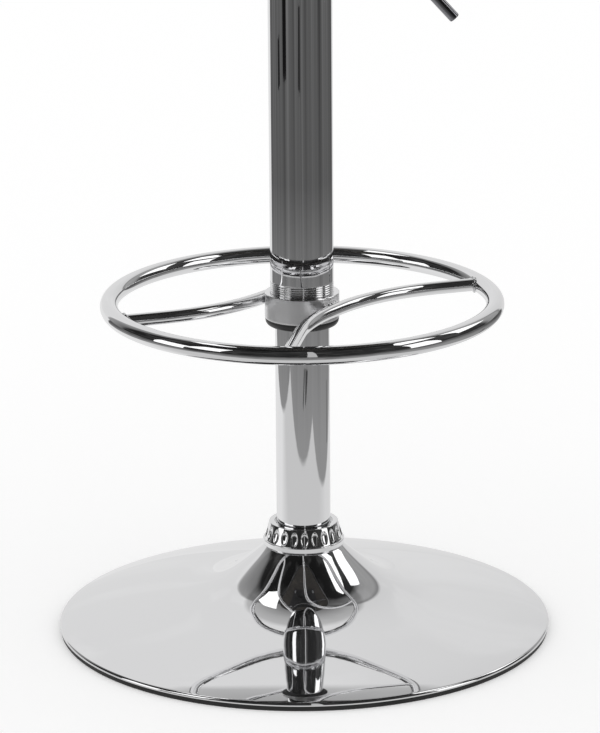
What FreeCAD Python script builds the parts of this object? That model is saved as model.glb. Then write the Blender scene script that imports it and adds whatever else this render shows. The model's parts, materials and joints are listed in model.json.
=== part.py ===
import FreeCAD, Part
import math
import os
import re
import Sketcher

# Gas lift bar stool: trumpet base, outer column, telescopic sleeve with a ring footrest, lever and seat.
# The origin is on the floor under the column, +Z is up, and the lever points along +X. Lengths are in mm.

SIZES = {
    # trumpet base, spun from sheet
    "base_radius": 228.5,
    "base_wall": 1.5,
    "rim_round": 3.0,
    "rim_land": 0.5,
    "neck_height": 79.5,
    "neck_room": 11.4,
    "neck_end_room": 6.3,
    "neck_end_rise": 5.9,
    # rubber ring under the rim
    "floor_ring_height": 4.9,
    "floor_ring_width": 9.0,
    "floor_ring_setback": 0.9,
    "floor_ring_tongue": 1.1,
    "floor_ring_tongue_setback": 2.4,
    "floor_ring_chamfer": 0.8,
    # socket tube and gussets welded under the neck
    "socket_wall": 5.0,
    "socket_bottom": 12.0,
    "socket_rise": 5.7,
    "gusset_thick": 3.0,
    "gusset_reach": 62.0,
    "gusset_gap": 0.2,
    # cap ring over the joint of base and column
    "cap_gap": 1.0,
    "cap_height": 21.7,
    "cap_flange_height": 5.5,
    "cap_overhang": 1.4,
    "cap_flange_step": 1.4,
    "cap_lip_room": 0.6,
    "cap_lip_width": 5.2,
    "cap_recess": 2.6,
    "cap_wall": 1.2,
    "cap_cone_wall": 1.9,
    "cap_edge": 0.7,
    "cap_column_gap": 0.3,
    "dimple_rise": 13.2,
    "dimple_half_height": 7.0,
    "dimple_half_width": 3.7,
    "dimple_depth": 1.4,
    "dimple_count": 22,
    "dimple_start_angle": 1.4,
    # outer column of the lift
    "column_radius": 25.0,
    "column_wall": 2.0,
    "column_bottom": 14.0,
    "column_top": 430.0,
    "end_plate_thick": 6.0,
    "guide_length": 70.0,
    "guide_lip": 3.0,
    "guide_lip_setback": 0.3,
    # swivel bearing at the foot of the piston rod
    "race_radius": 13.0,
    "race_thick": 2.5,
    "ball_radius": 2.0,
    "ball_circle_radius": 9.5,
    "ball_count": 12,
    "ball_gap": 0.3,
    "cage_thick": 1.2,
    "cage_width": 6.4,
    "race_bore_gap": 0.5,
    # piston rod, its stop and its fixings
    "rod_radius": 5.0,
    "rod_spigot_radius": 4.0,
    "rod_bottom": 8.0,
    "bumper_radius": 12.0,
    "bumper_height": 29.0,
    "bumper_waist": 1.5,
    "rod_washer_radius": 9.0,
    "rod_washer_thick": 1.5,
    "rod_clip_radius": 7.0,
    "rod_clip_thick": 1.2,
    "rod_groove_depth": 0.6,
    "piston_bottom": 290.0,
    "piston_thick": 12.0,
    "running_gap": 0.05,
    # gas spring cylinder
    "cylinder_radius": 14.0,
    "cylinder_wall": 2.0,
    "cylinder_bottom": 190.0,
    "cylinder_rise": 5.0,
    "cylinder_head": 10.0,
    "taper_length": 52.0,
    "taper_end_radius": 13.2,
    "gland_length": 16.0,
    "pin_radius": 3.5,
    "pin_length": 26.0,
    "pin_rise": 3.4,
    "pin_chamfer": 0.8,
    # sleeve over the column, threaded at its foot
    "sleeve_room": 4.0,
    "sleeve_wall": 2.0,
    "thread_length": 34.8,
    "thread_pitch": 2.0,
    "thread_depth": 0.6,
    "thread_turns": 9,
    # black bush under the collar, sliding on the column
    "bush_drop": 7.3,
    "bush_setback": 0.2,
    "bush_foot_wall": 2.8,
    "bush_length": 48.0,
    # footrest
    "collar_wall": 5.1,
    "collar_height": 23.7,
    "collar_chamfer": 0.5,
    "thread_gap": 0.05,
    "footrest_height": 311.2,
    "footrest_rise": 12.9,
    "footrest_radius": 176.6,
    "footrest_tube_radius": 8.25,
    "footrest_rod_radius": 6.0,
    "rod_bend_radius": 182.0,
    "rod_touch_angle": -34.0,
    "rod_lead_angle": 25.0,
    "rod_flat_length": 12.0,
    "rod_tail_angle": 37.6,
    "rod_end_setback": 0.5,
    # seat mechanism: pressed pan with the lift's socket and the lever's bracket
    "pan_depth": 30.5,
    "pan_wall": 2.5,
    "pan_length": 120.0,
    "pan_width": 90.0,
    "pan_corner": 14.0,
    "flange_side": 190.0,
    "flange_corner": 22.0,
    "lift_socket_wall": 6.0,
    "lift_socket_length": 39.5,
    "lever_height": 636.0,
    "lever_rise": 14.0,
    "lever_radius": 5.0,
    "lever_pivot_reach": 22.0,
    "lever_inner_reach": 8.0,
    "lever_tip_reach": 138.8,
    "lever_drop": 62.0,
    "lever_bend_reach": 82.0,
    "lever_bend_radius": 24.0,
    "lever_tip_chamfer": 0.8,
    "lever_slot_width": 12.0,
    "lever_slot_above": 10.0,
    "lever_slot_below": 6.0,
    "bracket_length": 14.0,
    "bracket_gap": 0.5,
    "bracket_wall": 2.5,
    "bracket_ear_rise": 8.0,
    "pivot_radius": 2.5,
    "pivot_head_radius": 4.2,
    "pivot_head_thick": 1.5,
    "pivot_tail": 2.6,
    "pivot_clip_radius": 4.5,
    "pivot_clip_thick": 0.8,
    "pivot_clip_inset": 0.6,
    # seat
    "board_inset": 16.0,
    "board_thick": 12.0,
    "screw_spacing": 160.0,
    "screw_radius": 3.0,
    "screw_head_radius": 5.8,
    "screw_head_height": 3.6,
    "screw_head_round": 1.3,
    "screw_length": 13.8,
    "screw_washer_radius": 7.5,
    "screw_washer_thick": 1.2,
    "screw_hole_gap": 0.4,
    "nut_radius": 4.0,
    "nut_length": 9.0,
    "nut_flange_radius": 9.5,
    "nut_flange_thick": 1.2,
    "seat_radius": 186.0,
    "seat_seam_inset": 6.0,
    "seat_foot_inset": 10.0,
    "seat_foot_drop": 1.0,
    "seat_side_height": 50.0,
    "seat_crown": 20.0,
    "seat_shoulder": 9.0,
    "seat_shoulder_run": 18.0,
    "cover_gap": 0.3,
    # room that cutting tools run past a face
    "overrun": 5.0,
}

# Sizes that follow from others, in the order in which they are worked out.
FOLLOWING = {
    "neck_radius": "column_radius + neck_room",
    "neck_end_radius": "column_radius + neck_end_room",
    "socket_top": "neck_height + socket_rise",
    "cap_bottom": "neck_height + cap_gap",
    "cap_top": "cap_bottom + cap_height",
    "cap_flange_radius": "neck_radius + cap_overhang",
    "cap_shoulder_radius": "cap_flange_radius - cap_flange_step",
    "cap_lip_radius": "neck_end_radius + cap_lip_room",
    "dimple_height": "cap_bottom + dimple_rise",
    "sleeve_radius": "column_radius + sleeve_room",
    "sleeve_bottom": "footrest_height - footrest_rise",
    "thread_top": "sleeve_bottom + thread_length",
    "collar_radius": "sleeve_radius + collar_wall",
    "bush_radius": "collar_radius - bush_setback",
    "bush_foot_radius": "column_radius + bush_foot_wall",
    "pan_bottom": "lever_height - lever_rise",
    "cylinder_top": "pan_bottom + cylinder_rise",
    "lever_tip_height": "lever_height - lever_drop",
    "bracket_ear_top": "lever_height + bracket_ear_rise",
    "board_radius": "seat_radius - board_inset",
    "seat_seam_radius": "seat_radius - seat_seam_inset",
    "seat_foot_radius": "seat_radius - seat_foot_inset",
    "rod_reach": "collar_radius + footrest_rod_radius + rod_bend_radius",
    "rod_lead_skew": "rod_bend_radius + rod_flat_length * sin(rod_lead_angle)",
    "rod_lead_run": "rod_reach * sin(rod_lead_angle) + rod_flat_length * cos(rod_lead_angle)",
    "rod_lead_offset": "rod_reach * cos(rod_lead_angle) - rod_lead_skew",
    "rod_tail_offset": "rod_reach * cos(rod_tail_angle) - rod_bend_radius",
    "rod_lead_room": "sqrt(footrest_radius * footrest_radius - rod_lead_offset * rod_lead_offset)",
    "rod_tail_room": "sqrt(footrest_radius * footrest_radius - rod_tail_offset * rod_tail_offset)",
    "rod_lead_length": "rod_lead_room - rod_lead_run - rod_end_setback",
    "rod_tail_length": "rod_tail_room - rod_reach * sin(rod_tail_angle) - rod_end_setback",
}

# Outer line of the spun base from rim to neck: shares of its radius and of its neck's height.
BASE_PROFILE_SHARES = [
    (0.9534, 0.1396),
    (0.9008, 0.1826),
    (0.8306, 0.2309),
    (0.7535, 0.2777),
    (0.6741, 0.3224),
    (0.6031, 0.3599),
    (0.5428, 0.3919),
    (0.4894, 0.4254),
    (0.4429, 0.4615),
    (0.3973, 0.5058),
    (0.3593, 0.5543),
    (0.3234, 0.6135),
    (0.2887, 0.6825),
    (0.2498, 0.7684),
    (0.2062, 0.8725),
]
RIM_SLOPE = 19.0
# Rounded foot of the black bush: shares of its step in radius and of its drop.
BUSH_CURVE_SHARES = [(0.62, 0.95), (0.3, 0.8), (0.1, 0.55), (0.02, 0.28)]
# Sketch corners start on a unit circle moved clear of both axes, and their sizes then move them.
START_SHIFT = 2.0
START_VALUE = 1.0
GUSSETS = 4
QUARTER_TURN = 90.0
FULL_TURN = 360.0
HALF = 0.5

doc = FreeCAD.newDocument("bar_stool")
sheet = doc.addObject("Spreadsheet::Sheet", "sizes")
NODES = []


def fill_sheet():
    """Writes each size in a row of the sheet, a number or a formula, and gives its cell the size's name."""
    cells = {name: str(value) for name, value in SIZES.items()}
    cells |= {name: f"={formula}" for name, formula in FOLLOWING.items()}
    for row, (name, value) in enumerate(cells.items(), start=1):
        sheet.set(f"A{row}", name)
        sheet.set(f"B{row}", value)
        sheet.setAlias(f"B{row}", name)
    doc.recompute()


def size(name):
    """The number in a named cell."""
    return float(sheet.get(name))


def bound(formula):
    """A formula in size names, written as an expression on the sheet."""
    known = SIZES | FOLLOWING
    return re.sub(r"[a-z][a-z_]*", lambda m: f"sizes.{m[0]}" if m[0] in known else m[0], formula)


def bind(item, **formulas):
    """Ties properties of an object to formulas in size names."""
    for name, formula in formulas.items():
        item.setExpression(name, bound(formula))


def place(item, x="0", y="0", z="0"):
    """Ties where an object stands to formulas in size names."""
    for axis, formula in (("x", x), ("y", y), ("z", z)):
        if formula != "0":
            item.setExpression(f"Placement.Base.{axis}", bound(formula))


def node(item, label):
    """Names a finished piece and keeps it for the checks and the files."""
    item.Label = label
    NODES.append(item)
    return item


def origin_plane(body, role):
    """One of a body's own planes."""
    return next(f for f in body.Origin.OriginFeatures if f.Role == role)


def sketch_on(body, role, name):
    """A sketch on one of a body's own planes."""
    sketch = body.newObject("Sketcher::SketchObject", name)
    sketch.AttachmentSupport = [(origin_plane(body, role), "")]
    sketch.MapMode = "FlatFace"
    return sketch


def pin_point(sketch, line, x, y):
    """Ties a line's start to formulas for its two coordinates."""
    for kind, axis, formula in (("DistanceX", -2, x), ("DistanceY", -1, y)):
        if formula == "0":
            sketch.addConstraint(Sketcher.Constraint("PointOnObject", line, 1, axis))
        else:
            index = sketch.addConstraint(Sketcher.Constraint(kind, -1, 1, line, 1, START_VALUE))
            sketch.setExpression(f"Constraints[{index}]", bound(formula))


def outline_in(sketch, points):
    """Draws a closed outline whose corners follow pairs of formulas."""
    count = len(points)
    turns = [math.tau * i / count for i in range(count)]
    corners = [FreeCAD.Vector(math.cos(t) + START_SHIFT, math.sin(t) + START_SHIFT, 0) for t in turns]
    for i in range(count):
        sketch.addGeometry(Part.LineSegment(corners[i], corners[(i + 1) % count]))
    for i in range(count):
        sketch.addConstraint(Sketcher.Constraint("Coincident", i, 2, (i + 1) % count, 1))
    for i, (x, y) in enumerate(points):
        pin_point(sketch, i, x, y)


def turned(name, points):
    """A body turned about its own Z axis from an outline of (radius, height) formulas."""
    body = doc.addObject("PartDesign::Body", name)
    sketch = sketch_on(body, "XZ_Plane", f"{name}_outline")
    outline_in(sketch, points)
    doc.recompute()
    turn = body.newObject("PartDesign::Revolution", f"{name}_turn")
    turn.Profile = sketch
    turn.ReferenceAxis = (sketch, ["V_Axis"])
    turn.Angle = FULL_TURN
    body.Tip = turn
    return body


def ring(name, inner, outer, bottom, top):
    """A turned piece with a plain rectangular section."""
    return turned(name, [(inner, bottom), (outer, bottom), (outer, top), (inner, top)])


def box(name, length, width, height, x="0", y="0", z="0"):
    """A box of bound sizes, placed by its lowest corner."""
    item = doc.addObject("Part::Box", name)
    bind(item, Length=length, Width=width, Height=height)
    place(item, x, y, z)
    return item


def rounded_box(name, length, width, height, corner, x, y, z):
    """A box whose upright edges are rounded to a radius."""
    plain = box(f"{name}_plain", length, width, height, x, y, z)
    doc.recompute()
    rounded = doc.addObject("Part::Fillet", name)
    rounded.Base = plain
    upright = [
        index
        for index, edge in enumerate(plain.Shape.Edges, start=1)
        if abs(edge.tangentAt(edge.FirstParameter).z) > HALF
    ]
    rounded.Edges = [(index, corner, corner) for index in upright]
    return rounded


def cylinder(name, radius, height, x="0", y="0", z="0", direction=None):
    """A cylinder of bound sizes, along Z or another direction."""
    item = doc.addObject("Part::Cylinder", name)
    bind(item, Radius=radius, Height=height)
    if direction:
        item.Placement.Rotation = FreeCAD.Rotation(FreeCAD.Vector(0, 0, 1), FreeCAD.Vector(*direction))
    place(item, x, y, z)
    return item


def cut(name, base, *tools):
    """The base less its tools."""
    tool = tools[0]
    if len(tools) > 1:
        tool = doc.addObject("Part::MultiFuse", f"{name}_tools")
        tool.Shapes = list(tools)
    item = doc.addObject("Part::Cut", name)
    item.Base = base
    item.Tool = tool
    return item


def group(name, members):
    """Separate like solids that share one node."""
    item = doc.addObject("Part::Compound", name)
    item.Links = members
    return item


def solid_of(wire_edges):
    """A solid turned from the edges of a closed half section in the XZ plane."""
    face = Part.Face(Part.Wire(Part.__sortEdges__(wire_edges)))
    solid = face.revolve(FreeCAD.Vector(0, 0, 0), FreeCAD.Vector(0, 0, 1), FULL_TURN)
    return Part.makeSolid(solid) if solid.ShapeType != "Solid" else solid


def at(radius, height):
    """A point of a half section."""
    return FreeCAD.Vector(radius, 0, height)


def spline_through(points, first_tangent, last_tangent):
    """A smooth curve through points, with the directions of its two ends."""
    curve = Part.BSplineCurve()
    curve.interpolate(Points=points, InitialTangent=first_tangent, FinalTangent=last_tangent)
    return curve


def base_curves():
    """The spun sheet's outer line and the line one wall further in, from rim to neck."""
    radius, height, wall = size("base_radius"), size("neck_height"), size("base_wall")
    slope = math.radians(RIM_SLOPE)
    bead = at(radius - size("rim_round"), size("floor_ring_height") + size("rim_land"))
    out_of_bead = at(math.sin(slope), math.cos(slope))
    inwards = at(-math.cos(slope), math.sin(slope))
    start = bead + out_of_bead * size("rim_round")
    neck = at(size("neck_radius"), height)
    end = at(size("neck_end_radius"), height + size("neck_end_rise"))
    points = [start] + [at(radius * r, height * z) for r, z in BASE_PROFILE_SHARES] + [neck, end]
    outer = spline_through(points, inwards, (end - neck).normalize())
    inner_points = []
    for point in points:
        along = outer.tangent(outer.parameter(point))[0]
        inner_points.append(point + at(along.z, -along.x) * -wall if along.x < 0 else point)
    inner = spline_through(inner_points, inwards, (end - neck).normalize())
    return bead, start, end, outer, inner


def base_dish():
    """Spun sheet base: rolled rim, shallow dish and trumpet neck."""
    radius, wall = size("base_radius"), size("base_wall")
    bead, start, end, outer, inner = base_curves()
    middle = math.radians((QUARTER_TURN + RIM_SLOPE) * HALF)
    towards = at(math.sin(middle), math.cos(middle))
    rim_low = at(radius, size("floor_ring_height"))
    rim_side = at(radius, bead.z)
    inner_low = at(radius - wall, rim_low.z)
    inner_side = at(radius - wall, bead.z)
    inner_start = inner.value(inner.FirstParameter)
    inner_end = inner.value(inner.LastParameter)
    inner_round = size("rim_round") - wall
    edges = [
        Part.LineSegment(rim_low, rim_side).toShape(),
        Part.Arc(rim_side, bead + towards * size("rim_round"), start).toShape(),
        outer.toShape(),
        Part.LineSegment(end, inner_end).toShape(),
        inner.toShape(),
        Part.Arc(inner_start, bead + towards * inner_round, inner_side).toShape(),
        Part.LineSegment(inner_side, inner_low).toShape(),
        Part.LineSegment(inner_low, rim_low).toShape(),
    ]
    item = doc.addObject("Part::Feature", "base_dish")
    item.Shape = solid_of(edges)
    item.Placement = FreeCAD.Placement()
    return node(item, "base_dish")


def room_under_dish():
    """The room under the dish, a little clear of the sheet, that the gussets fill."""
    _, _, _, _, inner = base_curves()
    start = inner.value(inner.FirstParameter)
    end = inner.value(inner.LastParameter)
    bottom = size("socket_bottom")
    edges = [
        inner.toShape(),
        Part.LineSegment(end, at(0, end.z)).toShape(),
        Part.LineSegment(at(0, end.z), at(0, -bottom)).toShape(),
        Part.LineSegment(at(0, -bottom), at(start.x, -bottom)).toShape(),
        Part.LineSegment(at(start.x, -bottom), start).toShape(),
    ]
    item = doc.addObject("Part::Feature", "room_under_dish")
    item.Shape = solid_of(edges)
    item.Placement = FreeCAD.Placement(at(0, -size("gusset_gap")), FreeCAD.Rotation())
    return item


def base_pieces():
    """Dish, rubber floor ring, welded socket and gussets, cap ring."""
    base_dish()
    outer = "base_radius - floor_ring_setback"
    inner = "base_radius - floor_ring_setback - floor_ring_width"
    tongue = "base_radius - floor_ring_tongue_setback"
    tongue_top = "floor_ring_height + floor_ring_tongue"
    node(turned("floor_ring", [
        (inner, "0"),
        (f"{outer} - floor_ring_chamfer", "0"),
        (outer, "floor_ring_chamfer"),
        (outer, "floor_ring_height"),
        (tongue, "floor_ring_height"),
        (tongue, tongue_top),
        (inner, tongue_top),
    ]), "base_floor_ring")
    socket_outer = "column_radius + socket_wall"
    node(ring("socket", "column_radius", socket_outer, "socket_bottom", "socket_top"), "base_socket")
    room = room_under_dish()
    gussets = []
    for i in range(GUSSETS):
        plate = box(f"gusset_plate_{i}", "gusset_reach", "gusset_thick", "neck_height")
        plate.Placement.Rotation = FreeCAD.Rotation(FreeCAD.Vector(0, 0, 1), QUARTER_TURN * (i + HALF))
        turn = f"{QUARTER_TURN * (i + HALF)}"
        place(
            plate,
            f"({socket_outer}) * cos({turn}) + gusset_thick / 2 * sin({turn})",
            f"({socket_outer}) * sin({turn}) - gusset_thick / 2 * cos({turn})",
            "socket_bottom",
        )
        gusset = doc.addObject("Part::Common", f"gusset_{i}")
        gusset.Base = plate
        gusset.Tool = room
        gussets.append(gusset)
    node(group("gussets", gussets), "base_gussets")
    cap_ring()


def cap_ring():
    """Cap over the neck: flange, dimpled cone and rolled lip round a recess."""
    bore = "column_radius + cap_column_gap"
    flange_top = "cap_bottom + cap_flange_height"
    floor_top = "cap_top - cap_recess"
    floor_low = "cap_top - cap_recess - cap_wall"
    lip_inner = "cap_lip_radius - cap_lip_width"
    body = turned("cap_body", [
        (bore, floor_low),
        ("cap_lip_radius - cap_cone_wall", floor_low),
        ("cap_shoulder_radius - cap_cone_wall", flange_top),
        ("cap_flange_radius - cap_cone_wall", "cap_bottom"),
        ("cap_flange_radius - cap_edge", "cap_bottom"),
        ("cap_flange_radius", "cap_bottom + cap_edge"),
        ("cap_flange_radius", f"{flange_top} - cap_edge"),
        ("cap_flange_radius - cap_edge", flange_top),
        ("cap_shoulder_radius", flange_top),
        ("cap_lip_radius", "cap_top - cap_edge"),
        ("cap_lip_radius - cap_edge", "cap_top"),
        (f"{lip_inner} + cap_edge", "cap_top"),
        (lip_inner, "cap_top - cap_edge"),
        (lip_inner, floor_top),
        (bore, floor_top),
    ])
    foot = size("cap_bottom") + size("cap_flange_height")
    share = (size("dimple_height") - foot) / (size("cap_top") - foot)
    middle = size("cap_shoulder_radius") + share * (size("cap_lip_radius") - size("cap_shoulder_radius"))
    lean = math.atan2(size("cap_shoulder_radius") - size("cap_lip_radius"), size("cap_top") - foot)
    count = round(size("dimple_count"))
    dimples = []
    for i in range(count):
        tool = doc.addObject("Part::Ellipsoid", f"dimple_{i}")
        bind(tool, Radius1="dimple_half_height", Radius2="dimple_depth", Radius3="dimple_half_width")
        tilt = FreeCAD.Rotation(FreeCAD.Vector(0, 1, 0), -math.degrees(lean))
        angle = size("dimple_start_angle") + FULL_TURN * i / count - QUARTER_TURN
        turn = FreeCAD.Rotation(FreeCAD.Vector(0, 0, 1), angle)
        spot = turn.multVec(at(middle, size("dimple_height")))
        tool.Placement = FreeCAD.Placement(spot, turn.multiply(tilt))
        dimples.append(tool)
    node(cut("cap_ring", body, *dimples), "base_cap_ring")


def column_pieces():
    """Outer column with its end plate, guide bush and the fixed half of the swivel bearing."""
    inner = "column_radius - column_wall"
    node(ring("column", inner, "column_radius", "column_bottom", "column_top"), "column_tube")
    rod_bore = "rod_spigot_radius + running_gap"
    plate_top = "column_bottom + end_plate_thick"
    node(ring("end_plate", rod_bore, inner, "column_bottom", plate_top), "column_end_plate")
    guide_bore = "cylinder_radius + running_gap"
    lip = "column_radius - guide_lip_setback"
    node(turned("guide", [
        (guide_bore, "column_top - guide_length"),
        (inner, "column_top - guide_length"),
        (inner, "column_top"),
        (lip, "column_top"),
        (lip, "column_top + guide_lip"),
        (guide_bore, "column_top + guide_lip"),
    ]), "column_guide_bush")
    race_bore = "rod_spigot_radius + race_bore_gap"
    race_top = f"{plate_top} + race_thick"
    node(ring("lower_race", race_bore, "race_radius", plate_top, race_top), "bearing_lower_race")
    balls = []
    count = round(size("ball_count"))
    middle = f"{race_top} + ball_radius"
    for i in range(count):
        ball = doc.addObject("Part::Sphere", f"ball_{i}")
        bind(ball, Radius="ball_radius")
        turn = FULL_TURN * i / count
        place(ball, f"ball_circle_radius * cos({turn})", f"ball_circle_radius * sin({turn})", middle)
        balls.append(ball)
    node(group("balls", balls), "bearing_balls")
    cage = ring(
        "cage_blank",
        "ball_circle_radius - cage_width / 2",
        "ball_circle_radius + cage_width / 2",
        f"{middle} - cage_thick / 2",
        f"{middle} + cage_thick / 2",
    )
    node(cut("cage", cage, *balls), "bearing_cage")


def swivel_pieces():
    """What turns with the seat but doesn't rise: piston rod, piston, upper race, stop and clip."""
    plate_top = "column_bottom + end_plate_thick"
    race_low = f"{plate_top} + race_thick + ball_radius * 2 + ball_gap"
    race_top = f"{race_low} + race_thick"
    node(ring("upper_race", "rod_spigot_radius", "race_radius", race_low, race_top), "bearing_upper_race")
    washer_low = "column_bottom - rod_washer_thick"
    clip_low = f"{washer_low} - rod_clip_thick"
    groove = "rod_spigot_radius - rod_groove_depth"
    node(turned("piston_rod_body", [
        ("0", "rod_bottom"),
        ("rod_spigot_radius", "rod_bottom"),
        ("rod_spigot_radius", clip_low),
        (groove, clip_low),
        (groove, washer_low),
        ("rod_spigot_radius", washer_low),
        ("rod_spigot_radius", race_top),
        ("rod_radius", race_top),
        ("rod_radius", "piston_bottom"),
        ("rod_spigot_radius", "piston_bottom"),
        ("rod_spigot_radius", "piston_bottom + piston_thick"),
        ("0", "piston_bottom + piston_thick"),
    ]), "piston_rod")
    piston_outer = "cylinder_radius - cylinder_wall - running_gap"
    node(ring(
        "piston", "rod_spigot_radius", piston_outer, "piston_bottom", "piston_bottom + piston_thick"
    ), "piston_head")
    waist = f"{race_top} + bumper_height / 2"
    bumper_top = f"{race_top} + bumper_height"
    node(turned("bumper", [
        ("rod_radius", race_top),
        ("bumper_radius", race_top),
        ("bumper_radius - bumper_waist", waist),
        ("bumper_radius", bumper_top),
        ("rod_radius", bumper_top),
    ]), "rubber_bumper")
    node(ring(
        "rod_washer", "rod_spigot_radius", "rod_washer_radius", washer_low, "column_bottom"
    ), "rod_washer")
    node(ring("rod_clip", groove, "rod_clip_radius", clip_low, washer_low), "rod_clip")


def gas_spring_pieces():
    """Cylinder with a taper for the seat, rod gland and release pin."""
    bore = "cylinder_radius - cylinder_wall"
    pin_bore = "pin_radius + running_gap"
    head_low = "cylinder_top - cylinder_head"
    node(turned("cylinder", [
        (bore, "cylinder_bottom"),
        ("cylinder_radius", "cylinder_bottom"),
        ("cylinder_radius", "cylinder_top - taper_length"),
        ("taper_end_radius", "cylinder_top"),
        (pin_bore, "cylinder_top"),
        (pin_bore, head_low),
        ("taper_end_radius - cylinder_wall", head_low),
        (bore, "cylinder_top - taper_length"),
    ]), "gas_cylinder")
    gland_bore = "rod_radius + running_gap"
    gland_top = "cylinder_bottom + gland_length"
    node(ring("gland", gland_bore, bore, "cylinder_bottom", gland_top), "cylinder_gland")
    pin_top = "cylinder_top + pin_rise"
    pin_low = f"{pin_top} - pin_length"
    node(turned("pin", [
        ("0", pin_low),
        ("pin_radius", pin_low),
        ("pin_radius", f"{pin_top} - pin_chamfer"),
        ("pin_radius - pin_chamfer", pin_top),
        ("0", pin_top),
    ]), "release_pin")


def sleeve_pieces():
    """Sleeve hung from the mechanism, with a thread at its foot, and its guide bush."""
    inner = "sleeve_radius - sleeve_wall"
    root = "sleeve_radius - thread_depth"
    turns = round(size("thread_turns"))
    thread = []
    for i in range(turns):
        low = f"thread_top - {turns - i} * thread_pitch"
        thread += [(root, low), ("sleeve_radius", f"{low} + thread_pitch / 2")]
    node(turned("sleeve", [
        (inner, "sleeve_bottom"),
        (root, "sleeve_bottom"),
        *thread,
        (root, "thread_top"),
        ("sleeve_radius", "thread_top + thread_pitch / 2"),
        ("sleeve_radius", "pan_bottom"),
        (inner, "pan_bottom"),
    ]), "sleeve_tube")
    slide = "column_radius + running_gap"
    low = "sleeve_bottom - bush_drop"
    curve = [
        (f"bush_radius - (bush_radius - bush_foot_radius) * {inwards}", f"sleeve_bottom - bush_drop * {down}")
        for inwards, down in BUSH_CURVE_SHARES
    ]
    node(turned("bush", [
        (slide, low),
        ("bush_foot_radius", low),
        *curve,
        ("bush_radius", "sleeve_bottom"),
        (inner, "sleeve_bottom"),
        (inner, "sleeve_bottom + bush_length"),
        (slide, "sleeve_bottom + bush_length"),
    ]), "sleeve_guide_bush")


def footrest_torus(name):
    """The footrest ring's tube."""
    item = doc.addObject("Part::Torus", name)
    bind(item, Radius1="footrest_radius", Radius2="footrest_tube_radius")
    place(item, z="footrest_height")
    return item


def footrest_rod(name, turn):
    """Bent rod from ring to ring, tangent to the collar and coped to the ring's tube."""
    body = doc.addObject("PartDesign::Body", f"{name}_bar")
    path = sketch_on(body, "XY_Plane", f"{name}_path")
    lead, bend = size("rod_lead_length"), size("rod_bend_radius")
    first = math.radians(size("rod_lead_angle"))
    sweep = first + math.radians(size("rod_tail_angle"))
    along = FreeCAD.Vector(math.cos(first), -math.sin(first), 0)
    lead_centre = FreeCAD.Vector(lead, -bend, 0)
    flat_start = lead_centre + FreeCAD.Vector(math.sin(first), math.cos(first), 0) * bend
    flat_end = flat_start + along * size("rod_flat_length")
    tail_centre = lead_centre + along * size("rod_flat_length")
    bend_end = tail_centre + FreeCAD.Vector(math.sin(sweep), math.cos(sweep), 0) * bend
    tail_end = bend_end + FreeCAD.Vector(math.cos(sweep), -math.sin(sweep), 0) * size("rod_tail_length")
    upright, quarter = FreeCAD.Vector(0, 0, 1), math.pi * HALF
    path.addGeometry(Part.LineSegment(FreeCAD.Vector(0, 0, 0), FreeCAD.Vector(lead, 0, 0)))
    lead_circle = Part.Circle(lead_centre, upright, bend)
    tail_circle = Part.Circle(tail_centre, upright, bend)
    path.addGeometry(Part.ArcOfCircle(lead_circle, quarter - first, quarter))
    path.addGeometry(Part.LineSegment(flat_start, flat_end))
    path.addGeometry(Part.ArcOfCircle(tail_circle, quarter - sweep, quarter - first))
    path.addGeometry(Part.LineSegment(bend_end, tail_end))
    path.addConstraint(Sketcher.Constraint("Coincident", 0, 1, -1, 1))
    path.addConstraint(Sketcher.Constraint("Horizontal", 0))
    path.addConstraint(Sketcher.Constraint("Tangent", 0, 2, 1, 2))
    path.addConstraint(Sketcher.Constraint("Tangent", 1, 1, 2, 1))
    path.addConstraint(Sketcher.Constraint("Tangent", 2, 2, 3, 2))
    path.addConstraint(Sketcher.Constraint("Tangent", 3, 1, 4, 1))
    for kind, line, formula in (
        ("Distance", 0, "rod_lead_length"),
        ("Radius", 1, "rod_bend_radius"),
        ("Distance", 2, "rod_flat_length"),
        ("Radius", 3, "rod_bend_radius"),
        ("Distance", 4, "rod_tail_length"),
    ):
        index = path.addConstraint(Sketcher.Constraint(kind, line, size(formula)))
        path.setExpression(f"Constraints[{index}]", bound(formula))
    for line, turned_by, formula in (
        (2, first, "-rod_lead_angle"),
        (4, sweep, "-(rod_lead_angle + rod_tail_angle)"),
    ):
        index = path.addConstraint(Sketcher.Constraint("Angle", line, -turned_by))
        path.setExpression(f"Constraints[{index}]", bound(formula))
    section = sketch_on(body, "YZ_Plane", f"{name}_section")
    rod_radius = size("footrest_rod_radius")
    section.addGeometry(Part.Circle(FreeCAD.Vector(0, 0, 0), FreeCAD.Vector(0, 0, 1), rod_radius))
    section.addConstraint(Sketcher.Constraint("Coincident", 0, 3, -1, 1))
    index = section.addConstraint(Sketcher.Constraint("Radius", 0, rod_radius))
    section.setExpression(f"Constraints[{index}]", bound("footrest_rod_radius"))
    doc.recompute()
    pipe = body.newObject("PartDesign::AdditivePipe", f"{name}_pipe")
    pipe.Profile = section
    pipe.Spine = (path, ["Edge1", "Edge2", "Edge3", "Edge4", "Edge5"])
    body.Tip = pipe
    heading = f"rod_touch_angle + {QUARTER_TURN} + rod_lead_angle + {turn}"
    touch = f"rod_touch_angle + {turn}"
    side = f"({heading} + {QUARTER_TURN})"
    flat = f"({touch} + {QUARTER_TURN})"
    place(
        body,
        f"rod_reach * cos({touch}) - rod_flat_length * cos({flat}) + rod_bend_radius * cos({side})"
        f" - rod_lead_length * cos({heading})",
        f"rod_reach * sin({touch}) - rod_flat_length * sin({flat}) + rod_bend_radius * sin({side})"
        f" - rod_lead_length * sin({heading})",
        "footrest_height",
    )
    body.setExpression("Placement.Rotation.Angle", bound(heading))
    return cut(name, body, footrest_torus(f"{name}_cope"))


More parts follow.
